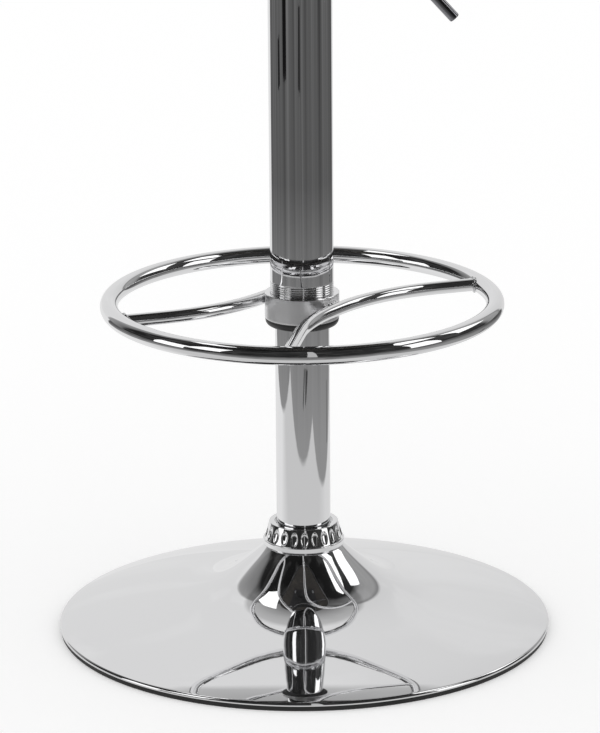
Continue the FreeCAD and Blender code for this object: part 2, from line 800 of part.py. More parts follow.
def footrest_pieces():
    """Threaded collar, ring and the two bent rods between them."""
    bore = "sleeve_radius + thread_gap"
    top = "sleeve_bottom + collar_height"
    node(turned("collar", [
        (bore, "sleeve_bottom"),
        ("collar_radius", "sleeve_bottom"),
        ("collar_radius", f"{top} - collar_chamfer"),
        ("collar_radius - collar_chamfer", top),
        (bore, top),
    ]), "footrest_collar")
    node(footrest_torus("footrest_tube"), "footrest_ring")
    node(footrest_rod("front_rod", 0), "footrest_rod_front")
    node(footrest_rod("rear_rod", FULL_TURN * HALF), "footrest_rod_rear")


def mechanism_pan():
    """Pressed pan: flange for the seat, hole for the lift's socket, slot for the lever."""
    flange_low = "pan_bottom + pan_depth - pan_wall"
    side = "-flange_side / 2"
    flange = rounded_box(
        "flange", "flange_side", "flange_side", "pan_wall", size("flange_corner"), side, side, flange_low
    )
    tub = rounded_box(
        "tub", "pan_length", "pan_width", "pan_depth", size("pan_corner"),
        "-pan_length / 2", "-pan_width / 2", "pan_bottom",
    )
    hollow = rounded_box(
        "tub_hollow", "pan_length - pan_wall * 2", "pan_width - pan_wall * 2", "pan_depth + overrun",
        size("pan_corner") - size("pan_wall"),
        "-pan_length / 2 + pan_wall", "-pan_width / 2 + pan_wall", "pan_bottom + pan_wall",
    )
    blank = doc.addObject("Part::MultiFuse", "pan_blank")
    blank.Shapes = [flange, tub]
    hole = cylinder(
        "pan_hole", "taper_end_radius + lift_socket_wall", "overrun * 2", z="pan_bottom - overrun"
    )
    slot = box(
        "lever_slot", "pan_wall + overrun * 2", "lever_slot_width", "lever_slot_above + lever_slot_below",
        "pan_length / 2 - pan_wall - overrun", "-lever_slot_width / 2", "lever_height - lever_slot_below",
    )
    holes = []
    for i, (across, along) in enumerate(CORNERS):
        holes.append(cylinder(
            f"pan_screw_hole_{i}", "screw_radius + screw_hole_gap", "pan_wall + overrun * 2",
            f"screw_spacing / 2 * {across}", f"screw_spacing / 2 * {along}", f"{flange_low} - overrun",
        ))
    return node(cut("pan", blank, hollow, hole, slot, *holes), "mechanism_pan")


def lift_socket():
    """Turned socket welded in the pan, bored to the lift's taper."""
    low = "pan_bottom + pan_wall - lift_socket_length"
    lean = "(cylinder_radius - taper_end_radius) / taper_length"
    low_bore = f"taper_end_radius + {lean} * (cylinder_top - ({low}))"
    top_bore = f"taper_end_radius + {lean} * (cylinder_top - (pan_bottom + pan_wall))"
    outer = "taper_end_radius + lift_socket_wall"
    node(turned("lift_socket", [
        (low_bore, low),
        (outer, low),
        (outer, "pan_bottom + pan_wall"),
        (top_bore, "pan_bottom + pan_wall"),
    ]), "mechanism_socket")


def lever():
    """Release lever: one round bar, straight through the pan and bent down outside it."""
    body = doc.addObject("PartDesign::Body", "lever_bar")
    path = sketch_on(body, "XZ_Plane", "lever_path")
    bend_at = FreeCAD.Vector(size("lever_bend_reach"), size("lever_height"), 0)
    tip = FreeCAD.Vector(size("lever_tip_reach"), size("lever_tip_height"), 0)
    start = FreeCAD.Vector(-size("lever_inner_reach"), size("lever_height"), 0)
    slope = (tip - bend_at).normalize()
    turn = math.acos(slope.x)
    tangent = size("lever_bend_radius") * math.tan(turn * HALF)
    first = bend_at - FreeCAD.Vector(tangent, 0, 0)
    last = bend_at + slope * tangent
    centre = first - FreeCAD.Vector(0, size("lever_bend_radius"), 0)
    quarter = math.pi * HALF
    circle = Part.Circle(centre, FreeCAD.Vector(0, 0, 1), size("lever_bend_radius"))
    path.addGeometry(Part.LineSegment(start, first))
    path.addGeometry(Part.ArcOfCircle(circle, quarter - turn, quarter))
    path.addGeometry(Part.LineSegment(last, tip))
    path.addConstraint(Sketcher.Constraint("Horizontal", 0))
    path.addConstraint(Sketcher.Constraint("Tangent", 0, 2, 1, 2))
    path.addConstraint(Sketcher.Constraint("Tangent", 1, 1, 2, 1))
    pinned = (
        ("DistanceX", 0, 1, -size("lever_inner_reach"), "-lever_inner_reach"),
        ("DistanceY", 0, 1, size("lever_height"), "lever_height"),
        ("DistanceX", 2, 2, size("lever_tip_reach"), "lever_tip_reach"),
        ("DistanceY", 2, 2, size("lever_tip_height"), "lever_tip_height"),
    )
    for kind, line, end, value, formula in pinned:
        index = path.addConstraint(Sketcher.Constraint(kind, -1, 1, line, end, value))
        path.setExpression(f"Constraints[{index}]", bound(formula))
    index = path.addConstraint(Sketcher.Constraint("Radius", 1, size("lever_bend_radius")))
    path.setExpression(f"Constraints[{index}]", bound("lever_bend_radius"))
    corner = path.addGeometry(Part.Point(bend_at))
    path.toggleConstruction(corner)
    path.addConstraint(Sketcher.Constraint("PointOnObject", corner, 1, 0))
    path.addConstraint(Sketcher.Constraint("PointOnObject", corner, 1, 2))
    index = path.addConstraint(Sketcher.Constraint("DistanceX", -1, 1, corner, 1, bend_at.x))
    path.setExpression(f"Constraints[{index}]", bound("lever_bend_reach"))
    section = sketch_on(body, "YZ_Plane", "lever_section")
    section.AttachmentOffset = FreeCAD.Placement(FreeCAD.Vector(0, 0, start.x), FreeCAD.Rotation())
    section.setExpression("AttachmentOffset.Base.z", bound("-lever_inner_reach"))
    middle, bar_radius = FreeCAD.Vector(0, start.y, 0), size("lever_radius")
    section.addGeometry(Part.Circle(middle, FreeCAD.Vector(0, 0, 1), bar_radius))
    section.addConstraint(Sketcher.Constraint("PointOnObject", 0, 3, -2))
    index = section.addConstraint(Sketcher.Constraint("DistanceY", -1, 1, 0, 3, start.y))
    section.setExpression(f"Constraints[{index}]", bound("lever_height"))
    index = section.addConstraint(Sketcher.Constraint("Radius", 0, bar_radius))
    section.setExpression(f"Constraints[{index}]", bound("lever_radius"))
    doc.recompute()
    pipe = body.newObject("PartDesign::AdditivePipe", "lever_pipe")
    pipe.Profile = section
    pipe.Spine = (path, ["Edge1", "Edge2", "Edge3"])
    body.Tip = pipe
    doc.recompute()
    tip_edge = max(
        range(len(pipe.Shape.Edges)),
        key=lambda i: pipe.Shape.Edges[i].CenterOfMass.x - pipe.Shape.Edges[i].CenterOfMass.z,
    )
    chamfer = body.newObject("PartDesign::Chamfer", "lever_chamfer")
    chamfer.Base = (pipe, [f"Edge{tip_edge + 1}"])
    bind(chamfer, Size="lever_tip_chamfer")
    body.Tip = chamfer
    hole = cylinder(
        "lever_hole", "pivot_radius + running_gap", "lever_radius * 2 + overrun * 2",
        "lever_pivot_reach", "lever_radius + overrun", "lever_height", (0, -1, 0),
    )
    node(cut("lever", body, hole), "release_lever")


def lever_mount():
    """Bracket, pivot pin and its clip."""
    ear_in = "(lever_radius + bracket_gap)"
    ear_out = "(lever_radius + bracket_gap + bracket_wall)"
    floor = "pan_bottom + pan_wall"
    back = "lever_pivot_reach - bracket_length / 2"
    block = box(
        "bracket_block", "bracket_length", f"{ear_out} * 2", f"bracket_ear_top - ({floor})",
        back, f"-{ear_out}", floor,
    )
    space = box(
        "bracket_space", "bracket_length + overrun * 2", f"{ear_in} * 2", f"bracket_ear_top - ({floor})",
        f"{back} - overrun", f"-{ear_in}", f"{floor} + bracket_wall",
    )
    drill = cylinder(
        "bracket_hole", "pivot_radius", f"{ear_out} * 2 + overrun * 2",
        "lever_pivot_reach", f"{ear_out} + overrun", "lever_height", (0, -1, 0),
    )
    node(cut("bracket", block, space, drill), "lever_bracket")
    tail = f"{ear_out} + pivot_tail"
    clip_in = f"{ear_out}"
    clip_out = f"{ear_out} + pivot_clip_thick"
    groove = "pivot_radius - pivot_clip_inset"
    pin = turned("pivot", [
        ("0", f"-{ear_out} - pivot_head_thick"),
        ("pivot_head_radius", f"-{ear_out} - pivot_head_thick"),
        ("pivot_head_radius", f"-{ear_out}"),
        ("pivot_radius", f"-{ear_out}"),
        ("pivot_radius", clip_in),
        (groove, clip_in),
        (groove, clip_out),
        ("pivot_radius", clip_out),
        ("pivot_radius", tail),
        ("0", tail),
    ])
    clip = ring("pivot_clip", groove, "pivot_clip_radius", clip_in, clip_out)
    for item, label in ((pin, "lever_pivot_pin"), (clip, "lever_pivot_clip")):
        item.Placement.Rotation = FreeCAD.Rotation(FreeCAD.Vector(1, 0, 0), QUARTER_TURN)
        place(item, "lever_pivot_reach", "0", "lever_height")
        node(item, label)


def seat_pieces():
    """Board, screws with washers and tee nuts, and the upholstered cushion."""
    board_low = "pan_bottom + pan_depth"
    board_top = f"{board_low} + board_thick"
    flange_low = f"{board_low} - pan_wall"
    blank = ring("board_blank", "0", "board_radius", board_low, board_top)
    head_top = f"{flange_low} - screw_washer_thick"
    tools, screws, washers, nuts = [], [], [], []
    for i, (across, along) in enumerate(CORNERS):
        x, y = f"screw_spacing / 2 * {across}", f"screw_spacing / 2 * {along}"
        tools.append(cylinder(
            f"board_hole_{i}", "nut_radius", "board_thick + overrun * 2", x, y, f"{board_low} - overrun",
        ))
        tools.append(cylinder(
            f"board_recess_{i}", "nut_flange_radius + screw_hole_gap", "nut_flange_thick + overrun",
            x, y, f"{board_top} - nut_flange_thick",
        ))
        screw = turned(f"screw_{i}", [
            ("0", f"{head_top} - screw_head_height"),
            ("screw_head_radius - screw_head_round", f"{head_top} - screw_head_height"),
            ("screw_head_radius", f"{head_top} - screw_head_height + screw_head_round"),
            ("screw_head_radius", head_top),
            ("screw_radius", head_top),
            ("screw_radius", f"{head_top} + screw_length"),
            ("0", f"{head_top} + screw_length"),
        ])
        washer = ring(f"washer_{i}", "screw_radius", "screw_washer_radius", head_top, flange_low)
        flange = f"{board_top} - nut_flange_thick"
        nut = turned(f"nut_{i}", [
            ("screw_radius", f"{board_top} - nut_length"),
            ("nut_radius", f"{board_top} - nut_length"),
            ("nut_radius", flange),
            ("nut_flange_radius", flange),
            ("nut_flange_radius", board_top),
            ("screw_radius", board_top),
        ])
        for item, members in ((screw, screws), (washer, washers), (nut, nuts)):
            place(item, x, y)
            members.append(item)
    node(cut("board", blank, *tools), "seat_board")
    node(group("screws", screws), "seat_screws")
    node(group("washers", washers), "seat_screw_washers")
    node(group("nuts", nuts), "seat_tee_nuts")
    seat_cushion()


def seat_cushion():
    """Round padded seat: cover drawn in under the board and at the top seam, crowned top."""
    board_low = size("pan_bottom") + size("pan_depth")
    board_top = board_low + size("board_thick")
    well = size("board_radius") + size("cover_gap")
    foot = at(size("seat_foot_radius"), board_low - size("seat_foot_drop"))
    seam = at(size("seat_seam_radius"), board_low + size("seat_side_height"))
    bulge = at(size("seat_radius"), (foot.z + seam.z) * HALF)
    shoulder = at(seam.x - size("seat_shoulder_run"), seam.z + size("seat_shoulder"))
    top = at(0, seam.z + size("seat_crown"))
    shoulder_mid = at(seam.x - size("seat_shoulder_run") * HALF * HALF, seam.z + size("seat_shoulder") * HALF)
    rise = top.z - shoulder.z
    crown_radius = (shoulder.x**2 + rise**2) / (rise * 2)
    half_way = shoulder.x * HALF
    crown_mid = at(half_way, top.z - crown_radius + math.sqrt(crown_radius**2 - half_way**2))
    corners = [at(0, board_top), at(well, board_top), at(well, foot.z), foot]
    edges = [Part.LineSegment(a, b).toShape() for a, b in zip(corners, corners[1:])]
    edges += [
        Part.Arc(foot, bulge, seam).toShape(),
        Part.Arc(seam, shoulder_mid, shoulder).toShape(),
        Part.Arc(shoulder, crown_mid, top).toShape(),
        Part.LineSegment(top, corners[0]).toShape(),
    ]
    item = doc.addObject("Part::Feature", "cushion")
    item.Shape = solid_of(edges)
    item.Placement = FreeCAD.Placement()
    node(item, "seat_cushion")


def check_and_export():
    """Refuses a failed or bad piece, then writes one file for each node."""
    doc.recompute()
    failed = [o.Label for o in doc.Objects if {"Invalid", "Error"} & set(o.State)]
    if failed:
        raise RuntimeError(f"failed objects: {failed}")
    bad = [o.Label for o in NODES if o.Shape.isNull() or not o.Shape.isValid() or not o.Shape.Solids]
    if bad:
        raise RuntimeError(f"bad shapes: {bad}")
    os.makedirs("parts", exist_ok=True)
    for item in NODES:
        item.Shape.exportStep(f"parts/{item.Label}.step")
        print(f"{item.Label}: {len(item.Shape.Solids)} solids, {item.Shape.Volume:.0f} mm3")
    print(f"{len(NODES)} nodes")


CORNERS = ((1, 1), (-1, 1), (-1, -1), (1, -1))

fill_sheet()
base_pieces()
column_pieces()
swivel_pieces()
gas_spring_pieces()
sleeve_pieces()
footrest_pieces()
mechanism_pan()
lift_socket()
lever()
lever_mount()
seat_pieces()
check_and_export()
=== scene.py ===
import bpy
import bmesh
import json
import math
import numpy as np
from mathutils import Matrix, Vector, noise


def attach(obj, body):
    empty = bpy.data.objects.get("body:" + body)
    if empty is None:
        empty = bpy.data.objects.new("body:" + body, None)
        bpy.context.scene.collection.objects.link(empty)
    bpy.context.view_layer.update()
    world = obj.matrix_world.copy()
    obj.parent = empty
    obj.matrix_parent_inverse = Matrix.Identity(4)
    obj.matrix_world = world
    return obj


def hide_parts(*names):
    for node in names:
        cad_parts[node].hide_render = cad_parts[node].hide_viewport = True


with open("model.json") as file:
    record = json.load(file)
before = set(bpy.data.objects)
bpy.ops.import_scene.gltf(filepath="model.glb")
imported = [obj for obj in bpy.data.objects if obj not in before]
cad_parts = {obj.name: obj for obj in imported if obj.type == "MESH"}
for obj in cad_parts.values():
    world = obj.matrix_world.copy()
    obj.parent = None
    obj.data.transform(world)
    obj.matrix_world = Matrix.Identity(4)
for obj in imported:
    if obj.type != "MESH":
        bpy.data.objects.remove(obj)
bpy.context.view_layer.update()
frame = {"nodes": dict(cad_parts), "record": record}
print("frame loaded:", len(frame["nodes"]), "nodes")

mm = 0.001


def linearColour(code):
    parts = [int(code[i:i + 2], 16) / 255 for i in (1, 3, 5)]
    return [p / 12.92 if p <= 0.04045 else ((p + 0.055) / 1.055) ** 2.4 for p in parts] + [1.0]


def addNode(tree, kind, settings=None, links=None):
    node = tree.nodes.new(kind)
    for name, value in (settings or {}).items():
        if isinstance(name, int) or name in node.inputs:
            node.inputs[name].default_value = value
        else:
            setattr(node, name, value)
    for name, socket in (links or {}).items():
        tree.links.new(socket, node.inputs[name])
    return node


def startMaterial(name, settings):
    material = bpy.data.materials.new(name)
    material.use_nodes = True
    tree = material.node_tree
    shader = tree.nodes["Principled BSDF"]
    for key, value in settings.items():
        shader.inputs[key].default_value = value
    place = addNode(tree, "ShaderNodeTexCoord").outputs["Object"]  # metres, in the stool's own frame
    return material, tree, shader, place


# camera, fitted to the round edges of rim, footrest, cap, column and sleeve: metres and degrees, and the
# focal length as a share of the picture's longer side
view = {
    "distance": 3.383, "height": 1.235, "pitch": 16.23, "roll": -0.42, "yaw": 0.039, "focal": 3833 / 733,
    "sensor": 36, "clip": 60,
}


def makeCamera():
    pitch, roll, yaw = (math.radians(view[k]) for k in ("pitch", "roll", "yaw"))
    ahead = Vector((-math.sin(yaw) * math.cos(pitch), math.cos(yaw) * math.cos(pitch), -math.sin(pitch)))
    level = Vector((math.cos(yaw), math.sin(yaw), 0))
    upward = level.cross(ahead)
    right = level * math.cos(roll) + upward * math.sin(roll)
    up = upward * math.cos(roll) - level * math.sin(roll)
    lens = bpy.data.cameras.new("photoCamera")
    lens.sensor_width = view["sensor"]
    lens.lens = view["focal"] * view["sensor"]
    lens.clip_end = view["clip"]
    camera = bpy.data.objects.new("photoCamera", lens)
    camera.matrix_world = Matrix((
        (right.x, up.x, -ahead.x, 0),
        (right.y, up.y, -ahead.y, -view["distance"]),
        (right.z, up.z, -ahead.z, view["height"]),
        (0, 0, 0, 1),
    ))
    bpy.context.scene.collection.objects.link(camera)
    bpy.context.scene.camera = camera


makeCamera()


def chromePlate(name, colour):
    # polished chrome plate over buffed steel: a true mirror, hardly softened, with faint waves from buffing
    material, tree, shader, place = startMaterial(name, {
        "Base Color": linearColour(colour), "Metallic": 1.0, "Roughness": 0.02,
    })
    grain = addNode(tree, "ShaderNodeTexNoise", {"Scale": 60.0, "Detail": 3.0}, {"Vector": place})  # 17 mm cloudiness
    rough = addNode(tree, "ShaderNodeMapRange", {"To Min": 0.012, "To Max": 0.045}, {"Value": grain.outputs["Fac"]})
    tree.links.new(rough.outputs["Result"], shader.inputs["Roughness"])
    waves = addNode(tree, "ShaderNodeTexNoise", {"Scale": 90.0, "Detail": 1.0}, {"Vector": place})  # 11 mm waves
    bump = addNode(tree, "ShaderNodeBump", {"Strength": 0.05, "Distance": 0.0002}, {"Height": waves.outputs["Fac"]})
    tree.links.new(bump.outputs["Normal"], shader.inputs["Normal"])
    return material


def turnedChrome():
    # chrome plate over a lathe turned collar: fine rings blur its side to an even grey, its top is polished
    material, tree, shader, place = startMaterial("turnedChrome", {
        "Base Color": linearColour("#F4F4F5"), "Metallic": 1.0, "Roughness": 0.34,
    })
    axes = addNode(tree, "ShaderNodeSeparateXYZ", links={"Vector": place})
    rough = addNode(tree, "ShaderNodeMapRange", {
        "From Min": 0.3214, "From Max": 0.3217, "To Min": 0.34, "To Max": 0.04,  # metres: the last 0.5 mm below the top
    }, {"Value": axes.outputs["Z"]})
    tree.links.new(rough.outputs["Result"], shader.inputs["Roughness"])
    stretch = addNode(tree, "ShaderNodeMapping", {"Scale": (4.0, 4.0, 1400.0)}, {"Vector": place})  # 0.7 mm rings
    rings = addNode(tree, "ShaderNodeTexNoise", {"Scale": 1.0, "Detail": 2.0}, {"Vector": stretch.outputs["Vector"]})
    bump = addNode(tree, "ShaderNodeBump", {"Strength": 0.25, "Distance": 0.0001}, {"Height": rings.outputs["Fac"]})
    tree.links.new(bump.outputs["Normal"], shader.inputs["Normal"])
    return material


def mouldedRubber():
    # black moulded rubber: matt, a little dusty, with a fine stipple
    material, tree, shader, place = startMaterial("mouldedRubber", {
        "Base Color": linearColour("#1D1D1D"), "Roughness": 0.62, "IOR": 1.52,
    })
    dust = addNode(tree, "ShaderNodeTexNoise", {"Scale": 45.0, "Detail": 4.0}, {"Vector": place})  # 22 mm patches
    tint = addNode(tree, "ShaderNodeValToRGB", links={"Fac": dust.outputs["Fac"]})
    tint.color_ramp.elements[0].position, tint.color_ramp.elements[1].position = 0.35, 0.8
    tint.color_ramp.elements[0].color = linearColour("#191919")
    tint.color_ramp.elements[1].color = linearColour("#2B2B2A")
    tree.links.new(tint.outputs["Color"], shader.inputs["Base Color"])
    stipple = addNode(tree, "ShaderNodeTexNoise", {"Scale": 1600.0, "Detail": 2.0}, {"Vector": place})  # 0.6 mm
    bump = addNode(tree, "ShaderNodeBump", {"Strength": 0.25, "Distance": 0.0002}, {"Height": stipple.outputs["Fac"]})
    tree.links.new(bump.outputs["Normal"], shader.inputs["Normal"])
    return material


def mouldedNylon(name, dark, light):
    # injection moulded nylon: satin, slightly uneven, with faint flow marks
    material, tree, shader, place = startMaterial(name, {
        "Base Color": linearColour(dark), "Roughness": 0.42, "IOR": 1.53,
    })
    flow = addNode(tree, "ShaderNodeTexNoise", {
        "Scale": 120.0, "Detail": 3.0, "Distortion": 0.6,  # 8 mm flow marks
    }, {"Vector": place})
    tint = addNode(tree, "ShaderNodeValToRGB", links={"Fac": flow.outputs["Fac"]})
    tint.color_ramp.elements[0].color = linearColour(dark)
    tint.color_ramp.elements[1].color = linearColour(light)
    tree.links.new(tint.outputs["Color"], shader.inputs["Base Color"])
    bump = addNode(tree, "ShaderNodeBump", {"Strength": 0.15, "Distance": 0.0002}, {"Height": flow.outputs["Fac"]})
    tree.links.new(bump.outputs["Normal"], shader.inputs["Normal"])
    return material


def zincSteel():
    # zinc plated or ground steel: grey metal with a soft sheen and cloudy patches
    material, tree, shader, place = startMaterial("zincSteel", {
        "Base Color": linearColour("#A9ABAD"), "Metallic": 1.0, "Roughness": 0.32,
    })
    patches = addNode(tree, "ShaderNodeTexVoronoi", {"Scale": 420.0}, {"Vector": place})  # 2.4 mm spangle
    rough = addNode(tree, "ShaderNodeMapRange", {"To Min": 0.26, "To Max": 0.42}, {
        "Value": patches.outputs["Distance"],
    })
    tree.links.new(rough.outputs["Result"], shader.inputs["Roughness"])
    scuffs = addNode(tree, "ShaderNodeTexNoise", {"Scale": 900.0, "Detail": 3.0}, {"Vector": place})  # 1.1 mm scuffs
    bump = addNode(tree, "ShaderNodeBump", {"Strength": 0.12, "Distance": 0.0001}, {"Height": scuffs.outputs["Fac"]})
    tree.links.new(bump.outputs["Normal"], shader.inputs["Normal"])
    return material


def powderCoat():
    # black polyester powder coat on steel: semi gloss with an orange peel skin
    material, tree, shader, place = startMaterial("powderCoat", {
        "Base Color": linearColour("#1B1B1D"), "Roughness": 0.4, "IOR": 1.5,
    })
    peel = addNode(tree, "ShaderNodeTexNoise", {"Scale": 700.0, "Detail": 1.5}, {"Vector": place})  # 1.4 mm peel
    bump = addNode(tree, "ShaderNodeBump", {"Strength": 0.3, "Distance": 0.0002}, {"Height": peel.outputs["Fac"]})
    tree.links.new(bump.outputs["Normal"], shader.inputs["Normal"])
    wear = addNode(tree, "ShaderNodeTexNoise", {"Scale": 40.0, "Detail": 5.0}, {"Vector": place})  # 25 mm patches
    rough = addNode(tree, "ShaderNodeMapRange", {"To Min": 0.32, "To Max": 0.5}, {"Value": wear.outputs["Fac"]})
    tree.links.new(rough.outputs["Result"], shader.inputs["Roughness"])
    return material


def birchPlywood():
    # birch plywood, rotary cut and stained nearly black: 1.5 mm plies on the edge, long grain on the face
    material, tree, shader, place = startMaterial("birchPlywood", {
        "Base Color": linearColour("#34302C"), "Roughness": 0.55, "IOR": 1.5,
    })
    # grain runs along x: 55 mm long, 4 mm wide, and 1.5 mm plies up the edge
    stretch = addNode(tree, "ShaderNodeMapping", {"Scale": (18.0, 260.0, 660.0)}, {"Vector": place})
    grain = addNode(tree, "ShaderNodeTexNoise", {"Scale": 1.0, "Detail": 5.0}, {"Vector": stretch.outputs["Vector"]})
    tint = addNode(tree, "ShaderNodeValToRGB", links={"Fac": grain.outputs["Fac"]})
    tint.color_ramp.elements[0].position, tint.color_ramp.elements[1].position = 0.3, 0.7
    tint.color_ramp.elements[0].color = linearColour("#282623")
    tint.color_ramp.elements[1].color = linearColour("#403B36")
    tree.links.new(tint.outputs["Color"], shader.inputs["Base Color"])
    bump = addNode(tree, "ShaderNodeBump", {"Strength": 0.2, "Distance": 0.0003}, {"Height": grain.outputs["Fac"]})
    tree.links.new(bump.outputs["Normal"], shader.inputs["Normal"])
    return material


def coatedLeather():
    # black synthetic leather, embossed polyurethane on cloth: pebbled grain, soft gloss, paler on worn high spots
    material, tree, shader, place = startMaterial("coatedLeather", {
        "Base Color": linearColour("#1F1F20"), "Roughness": 0.42, "IOR": 1.48,
        "Sheen Weight": 0.08, "Sheen Roughness": 0.4,
    })
    pebble = addNode(tree, "ShaderNodeTexVoronoi", {
        "feature": "DISTANCE_TO_EDGE", "Scale": 640.0,  # 1.6 mm pebbles, a little coarser than real so they show
    }, {"Vector": place})
    groove = addNode(tree, "ShaderNodeMapRange", {"From Max": 0.28}, {"Value": pebble.outputs["Distance"]})
    creases = addNode(tree, "ShaderNodeTexNoise", {"Scale": 36.0, "Detail": 5.0}, {"Vector": place})  # 28 mm creases
    height = addNode(tree, "ShaderNodeMath", {"operation": "MULTIPLY_ADD", 1: 1.5}, {
        0: creases.outputs["Fac"], 2: groove.outputs["Result"],
    })
    bump = addNode(tree, "ShaderNodeBump", {"Strength": 0.4, "Distance": 0.0003}, {"Height": height.outputs[0]})
    tree.links.new(bump.outputs["Normal"], shader.inputs["Normal"])
    rough = addNode(tree, "ShaderNodeMapRange", {"To Min": 0.52, "To Max": 0.34}, {"Value": groove.outputs["Result"]})
    tree.links.new(rough.outputs["Result"], shader.inputs["Roughness"])
    tint = addNode(tree, "ShaderNodeValToRGB", links={"Fac": creases.outputs["Fac"]})
    tint.color_ramp.elements[0].color = linearColour("#18181A")
    tint.color_ramp.elements[1].color = linearColour("#2A2A2B")
    tree.links.new(tint.outputs["Color"], shader.inputs["Base Color"])
    return material


chrome = chromePlate("chromePlate", "#EFEFF0")
shadedLeverChrome = chromePlate("shadedLeverChromePlate", "#929296")  # the lever's chrome painted darker than the tubes': painted shade for the dim room its bar mirrors
turned = turnedChrome()
rubber = mouldedRubber()
nylon = mouldedNylon("blackNylon", "#161617", "#232324")
paleNylon = mouldedNylon("paleNylon", "#D6D2C6", "#E4E0D4")
steel = zincSteel()
enamel = powderCoat()
plywood = birchPlywood()
leather = coatedLeather()
print("materials made")


def showPiece(name, mesh, material, body, nodes=(), crease=32):
    for face in mesh.polygons:
        face.use_smooth = True
    mesh.set_sharp_from_angle(angle=math.radians(crease))
    mesh.materials.append(material)
    piece = bpy.data.objects.new(name, mesh)
    bpy.context.scene.collection.objects.link(piece)
    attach(piece, body)
    if nodes:
        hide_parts(*nodes)
    return piece


def gridMesh(name, rows, closedAcross, closedAlong):
    # rows of points in mm, joined into quads, with normals turned outwards
    count, across = len(rows), len(rows[0])
    mesh = bpy.data.meshes.new(name)
    verts = [[v * mm for v in point] for row in rows for point in row]
    faces = []
    for i in range(count if closedAlong else count - 1):
        j = (i + 1) % count
        for k in range(across if closedAcross else across - 1):
            l = (k + 1) % across
            faces.append((i * across + k, i * across + l, j * across + l, j * across + k))
    if not closedAlong:
        faces.append(tuple(range(across - 1, -1, -1)))
        faces.append(tuple(range((count - 1) * across, count * across)))
    mesh.from_pydata(verts, [], faces)
    work = bmesh.new()
    work.from_mesh(mesh)
    bmesh.ops.recalc_face_normals(work, faces=work.faces)
    work.to_mesh(mesh)
    work.free()
    return mesh


def spin(name, outline, segments=256, shape=None):
    # turns a closed outline of (radius, height); shape(angle, radius, height) may move each point
    rows = []
    for i in range(segments):
        a = math.tau * i / segments
        row = [shape(a, r, z) if shape else (r, z) for r, z in outline]
        rows.append([(r * math.cos(a), r * math.sin(a), z) for r, z in row])
    return gridMesh(name, rows, True, True)


def eased(corners, steps=5):
    # an outline with its corners rounded: each corner is (radius, height, round)
    outline = []
    count = len(corners)
    for i, (x, y, ease) in enumerate(corners):
        here = Vector((x, y))
        if not ease:
            outline.append((x, y))
            continue
        before = (Vector(corners[i - 1][:2]) - here).normalized()
        after = (Vector(corners[(i + 1) % count][:2]) - here).normalized()
        opening = before.angle(after) / 2
        reach = ease / math.tan(opening)
        start, end = here + before * reach, here + after * reach
        for k in range(steps + 1):
            t = k / steps
            point = start.lerp(here, t).lerp(here.lerp(end, t), t)
            outline.append((point.x, point.y))
    return outline


def filled(outline, longest):
    # adds points so that no run of the outline is longer than a few mm
    points = []
    for (x, y), (u, v) in zip(outline, outline[1:] + outline[:1]):
        parts = max(1, math.ceil(math.hypot(u - x, v - y) / longest))
        points += [(x + (u - x) * k / parts, y + (v - y) * k / parts) for k in range(parts)]
    return points


def smoothLine(points, count, firstSlope, lastSlope):
    # clamped cubic spline by chord length through (radius, height) points
    p = np.array(points, float)
    s = np.concatenate([[0], np.cumsum(np.hypot(*np.diff(p, axis=0).T))])
    n, h = len(s), np.diff(s)
    m = np.zeros((n, n))
    b = np.zeros((n, 2))
    m[0, 0], m[-1, -1] = 1, 1
    b[0], b[-1] = firstSlope, lastSlope
    for i in range(1, n - 1):
        m[i, i - 1], m[i, i], m[i, i + 1] = h[i], 2 * (h[i - 1] + h[i]), h[i - 1]
        b[i] = 3 * (h[i] * (p[i] - p[i - 1]) / h[i - 1] + h[i - 1] * (p[i + 1] - p[i]) / h[i])
    d = np.linalg.solve(m, b)
    q = np.linspace(0, s[-1], count)
    k = np.clip(np.searchsorted(s, q) - 1, 0, n - 2)
    t = ((q - s[k]) / h[k])[:, None]
    hk = h[k][:, None]
    line = (2 * t**3 - 3 * t**2 + 1) * p[k] + (t**3 - 2 * t**2 + t) * hk * d[k]
    line += (3 * t**2 - 2 * t**3) * p[k + 1] + (t**3 - t**2) * hk * d[k + 1]
    return [tuple(point) for point in line.tolist()]


def sweep(name, path, radius, sides=40, closed=False, ends=0.0, wobble=None):
    # a round bar along points in mm; ends is the size of the eased edge at both ends
    points = [Vector(p) for p in path]
    count = len(points)
    stations = []
    side = None
    for i, point in enumerate(points):
        ahead = points[(i + 1) % count] if closed or i < count - 1 else point
        behind = points[i - 1] if closed or i else point
        along = (ahead - behind).normalized()
        if side is None:
            side = along.cross(Vector((0, 0, 1))).normalized()
        side = (side - along * side.dot(along)).normalized()
        stations.append((point, side.copy(), along.cross(side), radius))
    if ends:
        turns = (math.pi / 6, math.pi / 3, math.pi / 2)
        edges = []
        for last, beside in ((0, 1), (-1, -2)):
            point, first, second, r = stations[last]
            out = (points[last] - points[beside]).normalized()
            edges.append([(point + out * ends * (math.sin(a) - 1), first, second, r - ends * (1 - math.cos(a)))
                          for a in turns])
            stations[last] = (point - out * ends, first, second, r)
        stations = edges[0][::-1] + stations + edges[1]
    rows = []
    for i, (point, first, second, r) in enumerate(stations):
        row = []
        for k in range(sides):
            a = math.tau * k / sides
            size = r * (wobble(i, a) if wobble else 1)
            row.append(tuple(point + (first * math.cos(a) + second * math.sin(a)) * size))
        rows.append(row)
    return gridMesh(name, rows, True, closed)


